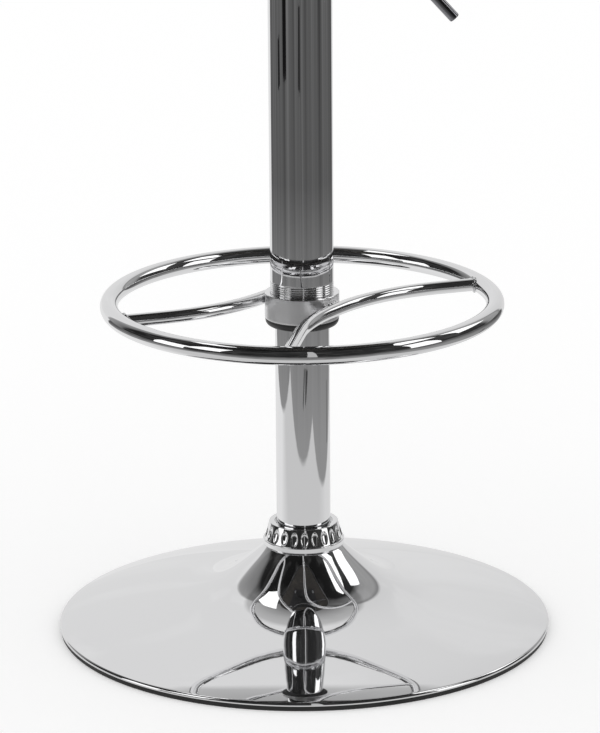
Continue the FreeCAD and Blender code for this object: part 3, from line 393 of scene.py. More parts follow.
# base: spun dish, rubber ring, cap ring; all sizes in mm
base = {
    "radius": 228.5, "wall": 1.5, "rimRound": 3.0, "rimSlope": 19.0, "rimLow": 4.9, "rimLand": 0.5,
    "neck": (36.4, 79.5), "end": (31.3, 85.4), "points": 150, "rimSteps": 12, "segments": 512,
    "line": [  # outer line from rim to neck: radius and height in mm
        (217.85, 11.10), (205.83, 14.52), (189.79, 18.36), (172.17, 22.08), (154.03, 25.63),
        (137.81, 28.61), (124.03, 31.16), (111.83, 33.82), (101.20, 36.69), (90.78, 40.21),
        (82.10, 44.07), (73.90, 48.77), (65.97, 54.26), (57.08, 61.09), (47.12, 69.36),
    ],
}


def makeDish():
    slope = math.radians(base["rimSlope"])
    bead = Vector((base["radius"] - base["rimRound"], base["rimLow"] + base["rimLand"]))
    start = bead + Vector((math.sin(slope), math.cos(slope))) * base["rimRound"]
    neck, end = Vector(base["neck"]), Vector(base["end"])
    last = (end - neck).normalized()
    line = smoothLine([tuple(start), *base["line"], base["neck"], base["end"]], base["points"],
                      (-math.cos(slope), math.sin(slope)), tuple(last))
    inner = []
    for i, point in enumerate(line):
        along = (Vector(line[min(i + 1, len(line) - 1)]) - Vector(line[max(i - 1, 0)])).normalized()
        inner.append((point[0] + along.y * -base["wall"], point[1] + along.x * base["wall"]))
    rim = [(base["radius"], base["rimLow"]), (base["radius"], bead.y)]
    for k in range(1, base["rimSteps"]):
        a = math.radians(90 - base["rimSlope"]) * k / base["rimSteps"]
        rim.append((bead.x + base["rimRound"] * math.cos(a), bead.y + base["rimRound"] * math.sin(a)))
    inside = base["radius"] - base["wall"]
    back = inner[::-2] + [(inside, bead.y), (inside, base["rimLow"])]
    mesh = spin("baseDish", rim + line + back, base["segments"])
    showPiece("baseDish", mesh, chrome, "base", ["base_dish"], 40)


floorRing = {
    "corners": [  # radius, height and rounding in mm; the upper step stands inside the dish's rim
        (218.6, 0, 0.4), (226.8, 0, 0.4), (227.6, 0.8, 0.5), (227.6, 4.9, 0.3),
        (226.1, 4.9, 0.2), (226.1, 6.0, 0.2), (218.6, 6.0, 0.3),
    ],
}


def makeFloorRing():
    outline = filled(eased(floorRing["corners"], 3), 2.5)
    showPiece("floorRing", spin("floorRing", outline, 360), rubber, "base", ["base_floor_ring"])


cap = {
    "bottom": 80.5, "top": 102.2, "bore": 25.3, "flange": 37.8, "shoulder": 36.4, "lip": 31.9, "lipWidth": 5.2,
    "flangeTop": 86.0, "recess": 2.6, "wall": 1.2, "coneWall": 1.9,
    "dimples": 22, "startAngle": 1.4, "dimpleHeight": 93.2, "halfHeight": 5.9, "halfWidth": 3.2, "depth": 1.2,
    "rim": (0.88, 1.1),  # where a dimple's rim starts and ends to round over, as shares of its half size
    "stepsPerDimple": 32, "reach": 0.15,  # points within this of the cone are pressed in
}


def makeCapRing():
    c = cap
    inside = c["lip"] - c["lipWidth"]
    floor = c["top"] - c["recess"]
    corners = [
        (c["bore"], floor - c["wall"], 0), (c["lip"] - c["coneWall"], floor - c["wall"], 0),
        (c["shoulder"] - c["coneWall"], c["flangeTop"], 0), (c["flange"] - c["coneWall"], c["bottom"], 0),
        (c["flange"], c["bottom"], 0.7), (c["flange"], c["flangeTop"], 0.9), (c["shoulder"], c["flangeTop"], 0.25),
        (c["lip"], c["top"], 1.1), (inside, c["top"], 0.7), (inside, floor, 0.3), (c["bore"], floor, 0.2),
    ]
    outline = filled(eased(corners, 6), 0.45)
    run = c["top"] - c["flangeTop"]
    lean = math.atan2(c["shoulder"] - c["lip"], run)

    def press(a, r, z):
        cone = c["shoulder"] + (c["lip"] - c["shoulder"]) * (z - c["flangeTop"]) / run
        if abs(r - cone) > c["reach"] or not c["flangeTop"] < z < c["top"]:
            return r, z
        step = math.tau / c["dimples"]
        off = (a + math.pi / 2 - math.radians(c["startAngle"]) + step / 2) % step - step / 2
        across, high = off * r / c["halfWidth"], (z - c["dimpleHeight"]) / c["halfHeight"]
        d = math.hypot(across, high)
        begin, end = c["rim"]
        if d < begin:
            sink = c["depth"] * math.sqrt(1 - d * d)
        else:
            # a cubic that leaves the bowl at its own slope and comes out level on the cone
            t = min(1, (d - begin) / (end - begin))
            deep = math.sqrt(1 - begin * begin)
            slope = (end - begin) * begin / deep
            sink = c["depth"] * ((2 * t**3 - 3 * t**2 + 1) * deep - (t**3 - 2 * t**2 + t) * slope)
        return r - sink * math.cos(lean), z - sink * math.sin(lean)

    mesh = spin("capRing", outline, c["dimples"] * c["stepsPerDimple"], press)
    showPiece("capRing", mesh, chrome, "base", ["base_cap_ring"], 48)


makeDish()
makeFloorRing()
makeCapRing()
print("base made")

# lift: column, sleeve with its thread, guide bush; all sizes in mm
lift = {
    "column": 25.0, "columnWall": 2.0, "columnLow": 14.0, "columnHigh": 430.0,
    "sleeve": 29.0, "sleeveWall": 2.0, "sleeveLow": 298.3, "sleeveHigh": 622.0,
    "threadTop": 333.1, "pitch": 2.0, "threadDepth": 0.6, "turns": 9, "threadEnd": 0.8,
}


def makeColumn():
    inner = lift["column"] - lift["columnWall"]
    outline = filled(eased([
        (inner, lift["columnLow"], 0), (lift["column"], lift["columnLow"], 0.5),
        (lift["column"], lift["columnHigh"], 0.5), (inner, lift["columnHigh"], 0),
    ], 3), 8)
    showPiece("columnTube", spin("columnTube", outline, 320), chrome, "base", ["column_tube"])


def makeSleeve():
    # the thread is a real helix, cut into the tube and fading out at its ends
    outer, inner = lift["sleeve"], lift["sleeve"] - lift["sleeveWall"]
    low, high = lift["threadTop"] - lift["pitch"] * lift["turns"], lift["threadTop"]
    heights = np.concatenate([
        np.linspace(lift["sleeveLow"], low, 4)[:-1],
        np.arange(low, high + 1, lift["pitch"] / 10),
        np.linspace(high + 1.1, lift["sleeveHigh"], 40),
    ])
    outline = [(outer, float(z)) for z in heights] + [(inner, lift["sleeveHigh"]), (inner, lift["sleeveLow"])]

    def cutThread(a, r, z):
        if r < outer or z > high:
            return r, z
        turn = ((z - a / math.tau * lift["pitch"]) / lift["pitch"]) % 1
        ridge = min(1, max(0, 1.35 - abs(turn - 0.5) * 3.2))  # a flat crest with sloping sides
        fade = min(1, max(0, (high - z) / lift["threadEnd"]))
        return r - lift["threadDepth"] * (1 - ridge) * (fade if z > low else 1), z

    showPiece("sleeveTube", spin("sleeveTube", outline, 288, cutThread), chrome, "upper",
              ["sleeve_tube"], 60)


bush = {
    "corners": [  # radius, height and rounding in mm: round foot, shoulder under the sleeve, sliding tube
        (25.05, 291.0, 0.3), (27.8, 291.0, 0.6), (30.12, 291.37, 1.5), (32.07, 292.46, 2.0), (33.29, 294.29, 2.5),
        (33.78, 296.26, 3.0), (33.9, 298.3, 0.2), (27.0, 298.3, 0), (27.0, 346.3, 0.4), (25.05, 346.3, 0.4),
    ],
}


def makeBush():
    outline = filled(eased(bush["corners"], 5), 3)
    showPiece("guideBush", spin("guideBush", outline, 192), nylon, "upper", ["sleeve_guide_bush"])


makeColumn()
makeSleeve()
makeBush()
print("lift made")

# footrest: collar, ring, two bent rods and their welds; sizes in mm, angles in degrees
footrest = {
    "height": 311.2, "ring": 176.6, "tube": 8.25, "rod": 6.0, "bend": 182.0, "touch": -34.0,
    "lead": 25.0, "flat": 12.0, "tail": 37.6, "setback": 0.5,
    "collar": 34.1, "collarLow": 298.3, "collarHigh": 322.0, "bore": 29.05, "edge": 0.5, "boreEdge": 0.4,
}
weld = {
    "bead": 1.5, "beadPoints": 72, "lift": 0.2, "inset": 0.3,  # round the rod where it meets the ring
    "search": 26.0, "halvings": 24,  # how far along the rod the ring's tube is looked for
    "fillet": 1.9, "filletStep": 0.8, "filletHalf": 14, "filletOut": 0.9, "filletLevel": 4.2,  # along the collar
}


def makeCollar():
    f = footrest
    low, high = f["collarLow"], f["collarHigh"]
    outline = filled(eased([
        (f["bore"], low, 0), (f["collar"], low, 0.4), (f["collar"], high - f["edge"], 0.2),
        (f["collar"] - f["edge"], high, 0.2), (f["bore"] + f["boreEdge"], high, 0.2),
        (f["bore"], high - f["boreEdge"], 0),
    ], 3), 1.5)
    mesh = spin("footrestCollar", outline, 256)
    showPiece("footrestCollar", mesh, turned, "upper", ["footrest_collar"])


def makeRing():
    f = footrest
    turns = [math.tau * k / 64 for k in range(64)]
    around = [(f["ring"] + f["tube"] * math.cos(a), f["height"] + f["tube"] * math.sin(a)) for a in turns]
    showPiece("footrestRing", spin("footrestRing", around, 480), chrome, "upper", ["footrest_ring"])


def rodPath(turn):
    # straight, bent, straight along the collar, bent again and straight to the ring's other side
    f = footrest
    touch = math.radians(f["touch"] + turn)
    lead, tail = math.radians(f["lead"]), math.radians(f["tail"])
    reach = f["collar"] + f["rod"] + f["bend"]
    middle = touch + math.pi / 2
    flat = Vector((math.cos(middle), math.sin(middle), 0)) * f["flat"]
    heart = Vector((reach * math.cos(touch), reach * math.sin(touch), f["height"]))

    def arc(centre, high, low, count):
        angles = [middle + math.pi / 2 + high + (low - high) * k / count for k in range(count + 1)]
        return [centre + Vector((math.cos(a), math.sin(a), 0)) * f["bend"] for a in angles]

    bends = arc(heart - flat, lead, 0, 30) + arc(heart, 0, -tail, 45)
    leadWay = Vector((math.cos(middle + lead), math.sin(middle + lead), 0))
    tailWay = Vector((math.cos(middle - tail), math.sin(middle - tail), 0))
    leadSkew = reach * math.cos(lead) - f["bend"] - f["flat"] * math.sin(lead)
    tailSkew = reach * math.cos(tail) - f["bend"]
    leadPast = reach * math.sin(lead) + f["flat"] * math.cos(lead) + f["setback"]
    tailPast = reach * math.sin(tail) + f["setback"]
    leadLength = math.sqrt(f["ring"]**2 - leadSkew**2) - leadPast
    tailLength = math.sqrt(f["ring"]**2 - tailSkew**2) - tailPast
    start, end = bends[0] - leadWay * leadLength, bends[-1] + tailWay * tailLength
    before = [start.lerp(bends[0], k / 20) for k in range(20)]
    after = [bends[-1].lerp(end, k / 12) for k in range(1, 13)]
    return before + bends + after, (start, leadWay), (end, -tailWay)


def weldBead(name, end, inward, seed):
    # a bead all round the rod where it meets the ring's tube, with the ripples of hand welding
    f = footrest
    across = inward.cross(Vector((0, 0, 1))).normalized()
    line = []
    for k in range(weld["beadPoints"]):
        a = math.tau * k / weld["beadPoints"]
        off = (across * math.cos(a) + Vector((0, 0, 1)) * math.sin(a)) * (f["rod"] + weld["lift"])
        low, high = 0.0, weld["search"]
        for _ in range(weld["halvings"]):
            mid = (low + high) / 2
            p = end + inward * mid + off
            gap = math.hypot(math.hypot(p.x, p.y) - f["ring"], p.z - f["height"]) - f["tube"]
            low, high = (mid, high) if gap < 0 else (low, mid)
        line.append(end + inward * (high + weld["inset"]) + off)

    def ripple(i, a):
        return 0.9 + 0.16 * math.sin(i * math.tau / 6) + 0.35 * noise.noise(Vector((i * 0.21, math.cos(a), seed)))

    mesh = sweep(name, line, weld["bead"], 12, True, 0, ripple)
    showPiece(name, mesh, chrome, "upper", (), 80)


def collarWeld(name, turn, level, seed):
    # a short fillet between rod and collar, above or below the rod
    f = footrest
    touch = math.radians(f["touch"] + turn)
    out = Vector((math.cos(touch), math.sin(touch), 0))
    along = Vector((-math.sin(touch), math.cos(touch), 0))
    line = []
    half = weld["filletHalf"]
    for k in range(2 * half + 1):
        s = (k - half) * weld["filletStep"]
        radius = math.sqrt(f["collar"]**2 - s * s) + weld["filletOut"]
        line.append(out * radius + along * s + Vector((0, 0, f["height"] + level)))

    def ripple(i, a):
        fade = math.sin(math.pi * min(1, max(0.06, i / (2 * half))))**0.5
        rough = 0.3 * noise.noise(Vector((i * 0.3, math.cos(a), seed)))
        return fade * (0.95 + 0.18 * math.sin(i * math.tau / 4) + rough)

    mesh = sweep(name, line, weld["fillet"], 12, False, 0, ripple)
    showPiece(name, mesh, chrome, "upper", (), 80)


def makeRods():
    for label, node, turn in (("Front", "footrest_rod_front", 0), ("Rear", "footrest_rod_rear", 180)):
        path, lead, tail = rodPath(turn)
        mesh = sweep(f"rod{label}", path, footrest["rod"], 48)
        showPiece(f"rod{label}", mesh, chrome, "upper", [node], 50)
        weldBead(f"leadWeld{label}", *lead, turn + 1.5)
        weldBead(f"tailWeld{label}", *tail, turn + 4.5)
        collarWeld(f"upperCollarWeld{label}", turn, weld["filletLevel"], turn + 7.5)
        collarWeld(f"lowerCollarWeld{label}", turn, -weld["filletLevel"], turn + 9.5)


makeCollar()
makeRing()
makeRods()
print("footrest made")

# release lever: a round bar, level inside the pan and bent down outside it
lever = {
    "radius": 5.0, "height": 636.0, "inner": -8.0, "bend": 82.0, "bendRadius": 24.0, "tip": (138.8, 574.0), "edge": 1.2,
}


def makeLever():
    v = lever
    corner, tip = Vector((v["bend"], 0, v["height"])), Vector((v["tip"][0], 0, v["tip"][1]))
    down = (tip - corner).normalized()
    turn = math.acos(down.x)
    reach = v["bendRadius"] * math.tan(turn / 2)
    heart = corner - Vector((reach, 0, v["bendRadius"]))
    path = [Vector((v["inner"] + (corner.x - reach - v["inner"]) * k / 20, 0, v["height"])) for k in range(20)]
    for k in range(25):
        a = math.pi / 2 - turn * k / 24
        path.append(heart + Vector((math.cos(a), 0, math.sin(a))) * v["bendRadius"])
    last = path[-1].copy()
    path += [last.lerp(tip, k / 14) for k in range(1, 15)]
    mesh = sweep("releaseLever", path, v["radius"], 48, False, v["edge"])
    # the lever's chrome carries painted shade, darker than the tubes' chrome
    showPiece("releaseLever", mesh, shadedLeverChrome, "lever", ["release_lever"], 50)


makeLever()
print("lever made")

# seat cushion: foam under a sewn cover, blown up as cloth; sizes in mm
seat = {
    "seam": 180.0, "foot": 176.0, "board": 170.3, "low": 651.5, "seamHeight": 702.5, "bulge": 4.0, "crown": 7.0,
    "segments": 144, "underSteps": 3, "sideSteps": 14, "topSteps": 36,
    "frames": 20, "most": 7.0,  # frames that the cover is blown up for, and how far it may go
    "piping": 2.6, "pipingIn": 0.9, "pipingUp": 0.2,
    "drawnIn": [(-1, 0.5), (0, 1.6), (1, 0.7)],  # rows beside the seam, and how far the thread pulls them in
}
cover = {
    "quality": 6, "mass": 0.3, "tension_stiffness": 25, "compression_stiffness": 25, "shear_stiffness": 12,
    "bending_stiffness": 1.5, "shrink_min": -0.035,  # the cover is cut a little large, so it puckers at the seam
    "use_pressure": True, "uniform_pressure_force": 4.0, "vertex_group_mass": "held",
}


def cushionOutline():
    # from the cover's edge under the board, over side, seam and top, to the middle
    s = seat
    steps = s["underSteps"]
    under = [(s["board"] + (s["foot"] - s["board"]) * k / steps, s["low"]) for k in range(steps)]
    side = []
    for k in range(s["sideSteps"] + 1):
        t = k / s["sideSteps"]
        bulge = s["bulge"] * math.sin(math.pi * t)
        side.append((s["foot"] + (s["seam"] - s["foot"]) * t + bulge, s["low"] + (s["seamHeight"] - s["low"]) * t))
    top = []
    for k in range(1, s["topSteps"]):
        t = k / s["topSteps"]
        rise = s["crown"] * math.sin(min(1, t * 1.25) * math.pi / 2) ** 0.8
        top.append((s["seam"] * (1 - t), s["seamHeight"] + rise))
    return under + side + top


def makeCushion():
    s = seat
    outline = cushionOutline()
    segments, rings = s["segments"], len(outline)
    verts = []
    for r, z in outline:
        for i in range(segments):
            a = math.tau * i / segments
            verts.append((r * math.cos(a) * mm, r * math.sin(a) * mm, z * mm))
    verts.append((0, 0, (s["seamHeight"] + s["crown"]) * mm))
    faces = []
    for k in range(rings - 1):
        for i in range(segments):
            j = (i + 1) % segments
            faces.append((k * segments + i, k * segments + j, (k + 1) * segments + j, (k + 1) * segments + i))
    for i in range(segments):
        faces.append(((rings - 1) * segments + i, (rings - 1) * segments + (i + 1) % segments, len(verts) - 1))
    mesh = bpy.data.meshes.new("seatCushion")
    mesh.from_pydata(verts, [], faces)
    piece = bpy.data.objects.new("seatCushion", mesh)
    bpy.context.scene.collection.objects.link(piece)
    seamRow = s["underSteps"] + s["sideSteps"]
    held = piece.vertex_groups.new(name="held")
    for k in (*range(s["underSteps"]), seamRow):
        held.add(list(range(k * segments, (k + 1) * segments)), 1.0, "REPLACE")
    start = np.array(verts)
    cloth = piece.modifiers.new("cover", "CLOTH")
    for name, value in cover.items():
        setattr(cloth.settings, name, value)
    cloth.settings.effector_weights.gravity = 0
    cloth.collision_settings.use_self_collision = False
    scene = bpy.context.scene
    for step in range(1, s["frames"] + 1):
        scene.frame_set(step)
    ready = piece.evaluated_get(bpy.context.evaluated_depsgraph_get())
    moved = np.array([v.co for v in ready.data.vertices])
    piece.modifiers.remove(cloth)
    scene.frame_set(1)
    shift = moved - start
    length = np.linalg.norm(shift, axis=1, keepdims=True)
    limit = s["most"] * mm
    shift *= np.tanh(length / limit) * limit / np.maximum(length, 1e-9)
    start = start + shift
    print("cover blown up, most", round(float(length.max() / mm), 1), "mm")
    for vertex, co in zip(mesh.vertices, start):
        vertex.co = co
    for off, depth in s["drawnIn"]:
        for i in range(segments):
            co = mesh.vertices[(seamRow + off) * segments + i].co
            flat = Vector((co.x, co.y, 0))
            co -= flat.normalized() * depth * mm
    under = piece.modifiers.new("fine", "SUBSURF")
    under.levels, under.render_levels = 1, 1
    ready = piece.evaluated_get(bpy.context.evaluated_depsgraph_get())
    fine = bpy.data.meshes.new_from_object(ready)
    piece.modifiers.clear()
    piece.vertex_groups.clear()
    piece.data = fine
    for face in fine.polygons:
        face.use_smooth = True
    fine.materials.clear()
    fine.materials.append(leather)
    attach(piece, "upper")
    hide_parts("seat_cushion")
    ring = [start[seamRow * segments + i] / mm for i in range(segments)]
    line = []
    for x, y, z in ring:
        share = 1 - s["pipingIn"] / math.hypot(x, y)
        line.append((x * share, y * share, z + s["pipingUp"]))
    mesh = sweep("seamPiping", line, s["piping"], 16, True)
    showPiece("seamPiping", mesh, leather, "upper")


makeCushion()
print("seat made")

# finishes of the pieces that keep their CAD shape
slotFinish = {
    "chrome_plate": chrome, "floor_rubber": rubber, "bush_plastic": nylon, "cage_plastic": paleNylon,
    "bare_steel": steel, "black_enamel": enamel, "seat_plywood": plywood, "seat_cover": leather,
}
for part in frame["record"]["subparts"]:
    node = frame["nodes"][part["node"]]
    node.data.materials.clear()
    node.data.materials.append(slotFinish[part["material_slot"]])
print("finishes set")

# studio: a white paper sweep with the stool on it, softboxes at both sides, a dark room on the camera's side.
# Azimuths are degrees from straight behind the stool, to the right; heights are degrees above the floor.
studio = {
    # the paper's edges in metres, and the backdrop's as x for each metre of y
    "paper": {"left": -0.72, "right": 0.455, "front": -0.54, "edge": 0.012, "backLeft": -1.0, "backRight": 0.62},
    "backEdge": 0.03, "backStart": (0.4, 0.5), "reach": 8.0, "cardLift": 0.003,
    "paperLeft": 0.83, "paperRight": 0.73, "paperFront": 0.62,  # brightness in mirrors
    "nearGrey": 0.3, "farGrey": 0.105, "greyFrom": 0.6, "greyTo": 1.8,  # the floor past the paper, by metres
    "raysFrom": 0.5, "raysTo": 3.4, "floorLift": 0.26,
    "walls": [  # share of a full turn from the camera's side, and grey
        (0.0, 0.015), (0.325, 0.012), (0.34, 0.17), (0.385, 0.33), (0.39, 0.76), (0.5, 0.76),
        (0.587, 0.68), (0.594, 0.22), (0.603, 0.34), (0.64, 0.3), (0.66, 0.03), (1.0, 0.015),
    ],
    "fade": [(0.0, 1.0), (0.54, 1.0), (0.57, 0.66), (0.64, 0.54), (0.76, 0.24), (0.9, 0.04)],  # shares of straight up
    "ambient": 0.82,
}
softboxes = {  # corners as azimuth and height, distance in metres, brightness in mirrors
    "leftLow": {"corners": [(-112, -2), (-91, -2), (-91, 28), (-112, 28)], "away": 5.0, "glow": 1.3},
    "leftHigh": {"corners": [(-134, 17), (-112, 17), (-114, 46), (-134, 47)], "away": 5.0, "glow": 1.3},
    "top": {
        "corners": [
            (-49, 58.8), (-38.6, 61.7), (-28.5, 66.2), (-42.4, 69.9), (-75.6, 72.8), (-80.5, 69.9), (-70, 62.9),
        ],
        "away": 4.0, "glow": 1.4,
    },
    "rightNear": {
        "corners": [(49, 26), (79, 27), (73, 38), (66, 48), (60.7, 51), (52, 43), (51, 36.4)],
        "away": 4.0, "glow": 1.4,
    },
    "rightHigh": {
        "corners": [
            (62.5, 61.4), (67.2, 57.7), (72.5, 52.7), (77.5, 47.5), (112, 48), (107.4, 56.2), (89, 63.5), (73, 65),
        ],
        "away": 4.0, "glow": 1.4,
    },
    "rightLow": {"corners": [(98, -2), (119, -2), (118, 37), (99, 37)], "away": 5.0, "glow": 1.3},
    "front": {"corners": [(172, 1), (177.5, 1), (176, 62), (172, 62)], "away": 5.0, "glow": 0.5},
}
floorCards = {  # corners in metres on the floor, brightness in mirrors
    "lightLine": {"corners": [(0.09, -1.3), (0.12, -1.3), (0.23, -3.0), (0.17, -3.0)], "glow": 0.17},
    "darkBox": {"corners": [(-1.97, -1.54), (-3.15, -2.46), (-3.65, -1.63), (-2.28, -1.02)], "glow": 0.008},
    "darkLeft": {"corners": [(-2.8, -0.5), (-2.4, -0.5), (-2.4, -0.1), (-2.8, -0.1)], "glow": 0.02},
    "darkFar": {"corners": [(-0.4, -3.1), (-0.05, -3.1), (-0.05, -2.4), (-0.4, -2.4)], "glow": 0.03},
    "darkNear": {"corners": [(0.13, -0.74), (0.15, -0.72), (0.33, -0.82), (0.19, -0.87)], "glow": 0.06},
    "darkCross": {"corners": [(0.0, -0.75), (0.03, -0.72), (0.16, -0.87), (0.09, -0.89)], "glow": 0.1},
    "darkRight": {"corners": [(0.512, 0.272), (0.724, 0.385), (0.703, 0.422), (0.497, 0.299)], "glow": 0.08},
}


def floorMaterial():
    # matt white paper; mirrors see that it ends to the left, right and front, where a grey floor begins
    material = bpy.data.materials.new("studioFloor")
    material.use_nodes = True
    tree = material.node_tree
    tree.nodes.clear()
    place = addNode(tree, "ShaderNodeNewGeometry").outputs["Position"]
    axes = addNode(tree, "ShaderNodeSeparateXYZ", links={"Vector": place})
    paper = studio["paper"]
    masks = []
    for axis, limit, sign in (("X", paper["left"], 1), ("X", paper["right"], -1), ("Y", paper["front"], 1)):
        masks.append(addNode(tree, "ShaderNodeMapRange", {
            "From Min": limit - paper["edge"] * sign, "From Max": limit + paper["edge"] * sign,
        }, {"Value": axes.outputs[axis]}).outputs["Result"])
    # behind the stool the paper rises as the backdrop, which mirrors see between two azimuths
    behind = addNode(tree, "ShaderNodeMath", {"operation": "MAXIMUM", 1: 0.01}, {0: axes.outputs["Y"]})
    sector = addNode(tree, "ShaderNodeMath", {"operation": "DIVIDE"}, {0: axes.outputs["X"], 1: behind.outputs[0]})
    for limit, sign in ((paper["backLeft"], 1), (paper["backRight"], -1)):
        masks.append(addNode(tree, "ShaderNodeMapRange", {
            "From Min": limit - studio["backEdge"] * sign, "From Max": limit + studio["backEdge"] * sign,
        }, {"Value": sector.outputs[0]}).outputs["Result"])
    masks.append(addNode(tree, "ShaderNodeMapRange", {
        "From Min": studio["backStart"][0], "From Max": studio["backStart"][1],
    }, {"Value": axes.outputs["Y"]}).outputs["Result"])
    sheets = []
    for one, two, three in (masks[:3], masks[3:]):
        pair = addNode(tree, "ShaderNodeMath", {"operation": "MULTIPLY"}, {0: one, 1: two})
        sheets.append(addNode(tree, "ShaderNodeMath", {"operation": "MULTIPLY"}, {0: pair.outputs[0], 1: three}))
    onPaper = addNode(tree, "ShaderNodeMath", {"operation": "MAXIMUM"}, {
        0: sheets[0].outputs[0], 1: sheets[1].outputs[0],
    })
    far = addNode(tree, "ShaderNodeVectorMath", {"operation": "LENGTH"}, {0: place})
    grey = addNode(tree, "ShaderNodeMapRange", {
        "From Min": studio["greyFrom"], "From Max": studio["greyTo"],
        "To Min": studio["nearGrey"], "To Max": studio["farGrey"],
    }, {"Value": far.outputs["Value"]})
    # further out, things standing about in the room make lighter and darker rays
    way = addNode(tree, "ShaderNodeVectorMath", {"operation": "NORMALIZE"}, {0: place})
    rays = addNode(tree, "ShaderNodeTexNoise", {"Scale": 3.6, "Detail": 2.5}, {"Vector": way.outputs["Vector"]})
    spread = addNode(tree, "ShaderNodeMapRange", {"From Min": 0.3, "From Max": 0.7, "To Min": 0.2, "To Max": 1.8}, {
        "Value": rays.outputs["Fac"],
    })
    share = addNode(tree, "ShaderNodeMapRange", {"From Min": studio["raysFrom"], "From Max": studio["raysTo"]}, {
        "Value": far.outputs["Value"],
    })
    uneven = addNode(tree, "ShaderNodeMix", {"data_type": "FLOAT", 2: 1.0}, {
        0: share.outputs["Result"], 3: spread.outputs["Result"],
    })
    grey = addNode(tree, "ShaderNodeMath", {"operation": "MULTIPLY"}, {0: grey.outputs["Result"], 1: uneven.outputs[0]})
    # the paper is a little brighter on the left
    across = addNode(tree, "ShaderNodeMapRange", {
        "From Min": -0.3, "From Max": 0.3, "To Min": studio["paperLeft"], "To Max": studio["paperRight"],
    }, {"Value": axes.outputs["X"]})
    # its near end is shaded by the camera's side
    ahead = addNode(tree, "ShaderNodeMapRange", {"From Min": -0.15, "From Max": 0.1}, {"Value": axes.outputs["Y"]})
    paperGrey = addNode(tree, "ShaderNodeMix", {"data_type": "FLOAT", 2: studio["paperFront"]}, {
        0: ahead.outputs["Result"], 3: across.outputs["Result"],
    })
    seen = addNode(tree, "ShaderNodeMix", {"data_type": "FLOAT"}, {
        0: onPaper.outputs[0], 2: grey.outputs[0], 3: paperGrey.outputs[0],
    })
    mirrored = addNode(tree, "ShaderNodeEmission", {"Strength": 1.0}, {"Color": seen.outputs[0]})
    paint = addNode(tree, "ShaderNodeBsdfDiffuse", {"Color": (0.9, 0.9, 0.9, 1)})
    bright = addNode(tree, "ShaderNodeEmission", {"Color": (1, 1, 1, 1), "Strength": studio["floorLift"]})
    shown = addNode(tree, "ShaderNodeAddShader", links={0: paint.outputs[0], 1: bright.outputs[0]})
    ray = addNode(tree, "ShaderNodeLightPath")
    whiter = addNode(tree, "ShaderNodeMixShader", links={
        0: ray.outputs["Is Camera Ray"], 1: paint.outputs[0], 2: shown.outputs[0],
    })
    mix = addNode(tree, "ShaderNodeMixShader", links={
        0: ray.outputs["Is Glossy Ray"], 1: whiter.outputs[0], 2: mirrored.outputs[0],
    })
    addNode(tree, "ShaderNodeOutputMaterial", links={"Surface": mix.outputs[0]})
    return material


def makeFloor():
    mesh = bpy.data.meshes.new("studioFloor")
    r = studio["reach"]
    mesh.from_pydata([(-r, -r, 0), (r, -r, 0), (r, r, 0), (-r, r, 0)], [], [(0, 1, 2, 3)])
    mesh.materials.append(floorMaterial())
    floor = bpy.data.objects.new("studioFloor", mesh)
    bpy.context.scene.collection.objects.link(floor)


def makeCards():
    # seen in mirrors only, so they add nothing to the light on the stool
    for name, box in {**softboxes, **floorCards}.items():
        material = bpy.data.materials.new(name)
        material.use_nodes = True
        tree = material.node_tree
        tree.nodes.clear()
        glow = addNode(tree, "ShaderNodeEmission", {"Color": (1, 1, 1, 1), "Strength": box["glow"]})
        addNode(tree, "ShaderNodeOutputMaterial", links={"Surface": glow.outputs[0]})
        verts = []
        for first, second in box["corners"]:
            if name in floorCards:
                verts.append((first, second, studio["cardLift"]))
                continue
            a, h = math.radians(first), math.radians(second)
            verts.append([box["away"] * c for c in (math.sin(a) * math.cos(h), math.cos(a) * math.cos(h), math.sin(h))])
        mesh = bpy.data.meshes.new(name)
        mesh.from_pydata(verts, [], [tuple(range(len(verts)))])
        mesh.materials.append(material)
        card = bpy.data.objects.new(name, mesh)
        bpy.context.scene.collection.objects.link(card)
        card.visible_camera = card.visible_diffuse = card.visible_shadow = card.visible_transmission = False


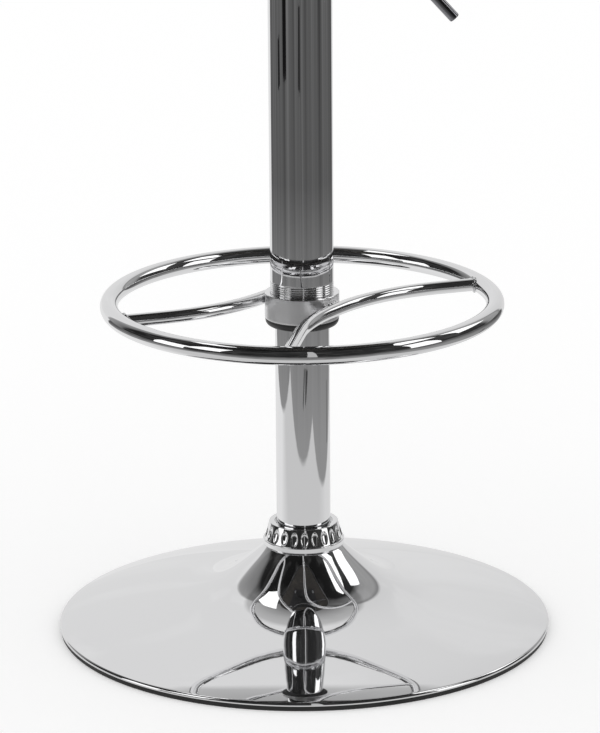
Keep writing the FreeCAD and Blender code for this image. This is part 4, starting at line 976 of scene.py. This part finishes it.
def makeWorld():
    # camera rays see white; mirrors see walls by azimuth, fading upwards
    world = bpy.data.worlds.new("studioWorld")
    bpy.context.scene.world = world
    world.use_nodes = True
    tree = world.node_tree
    tree.nodes.clear()
    way = addNode(tree, "ShaderNodeTexCoord").outputs["Generated"]
    axes = addNode(tree, "ShaderNodeSeparateXYZ", links={"Vector": way})
    azimuth = addNode(tree, "ShaderNodeMath", {"operation": "ARCTAN2"}, {0: axes.outputs["X"], 1: axes.outputs["Y"]})
    turn = addNode(tree, "ShaderNodeMath", {"operation": "MULTIPLY_ADD", 1: 0.5 / math.pi, 2: 0.5}, {
        0: azimuth.outputs[0],
    })
    high = addNode(tree, "ShaderNodeMath", {"operation": "ARCSINE"}, {0: axes.outputs["Z"]})
    share = addNode(tree, "ShaderNodeMath", {"operation": "MULTIPLY", 1: 2 / math.pi}, {0: high.outputs[0]})
    greys = []
    for source, stops in ((turn, studio["walls"]), (share, studio["fade"])):
        node = addNode(tree, "ShaderNodeValToRGB", links={"Fac": source.outputs[0]})
        ramp = node.color_ramp
        while len(ramp.elements) < len(stops):
            ramp.elements.new(0.5)
        for element, (position, value) in zip(ramp.elements, stops):
            element.position = position
            element.color = (value, value, value, 1)
        greys.append(node)
    walls = addNode(tree, "ShaderNodeMath", {"operation": "MULTIPLY"}, {
        0: greys[0].outputs["Color"], 1: greys[1].outputs["Color"],
    })
    lights = addNode(tree, "ShaderNodeTexNoise", {"Scale": 5.0, "Detail": 3.0, "Distortion": 0.5}, {"Vector": way})
    # faint lighter things all over the dark room
    glints = addNode(tree, "ShaderNodeMapRange", {
        "From Min": 0.48, "From Max": 0.72, "To Min": 0.006, "To Max": 0.05,
    }, {"Value": lights.outputs["Fac"]})
    seen = addNode(tree, "ShaderNodeMath", {"operation": "ADD"}, {0: walls.outputs[0], 1: glints.outputs["Result"]})
    mirrored = addNode(tree, "ShaderNodeBackground", links={"Color": seen.outputs[0]})
    ambient = addNode(tree, "ShaderNodeBackground", {"Color": (1, 1, 1, 1), "Strength": studio["ambient"]})
    white = addNode(tree, "ShaderNodeBackground", {"Color": (1, 1, 1, 1), "Strength": 1.0})
    ray = addNode(tree, "ShaderNodeLightPath")
    first = addNode(tree, "ShaderNodeMixShader", links={
        0: ray.outputs["Is Glossy Ray"], 1: ambient.outputs[0], 2: mirrored.outputs[0],
    })
    mix = addNode(tree, "ShaderNodeMixShader", links={
        0: ray.outputs["Is Camera Ray"], 1: first.outputs[0], 2: white.outputs[0],
    })
    addNode(tree, "ShaderNodeOutputWorld", links={"Surface": mix.outputs[0]})


makeFloor()
makeCards()
makeWorld()

bpy.context.scene.view_settings.view_transform = "Standard"
print("studio made")
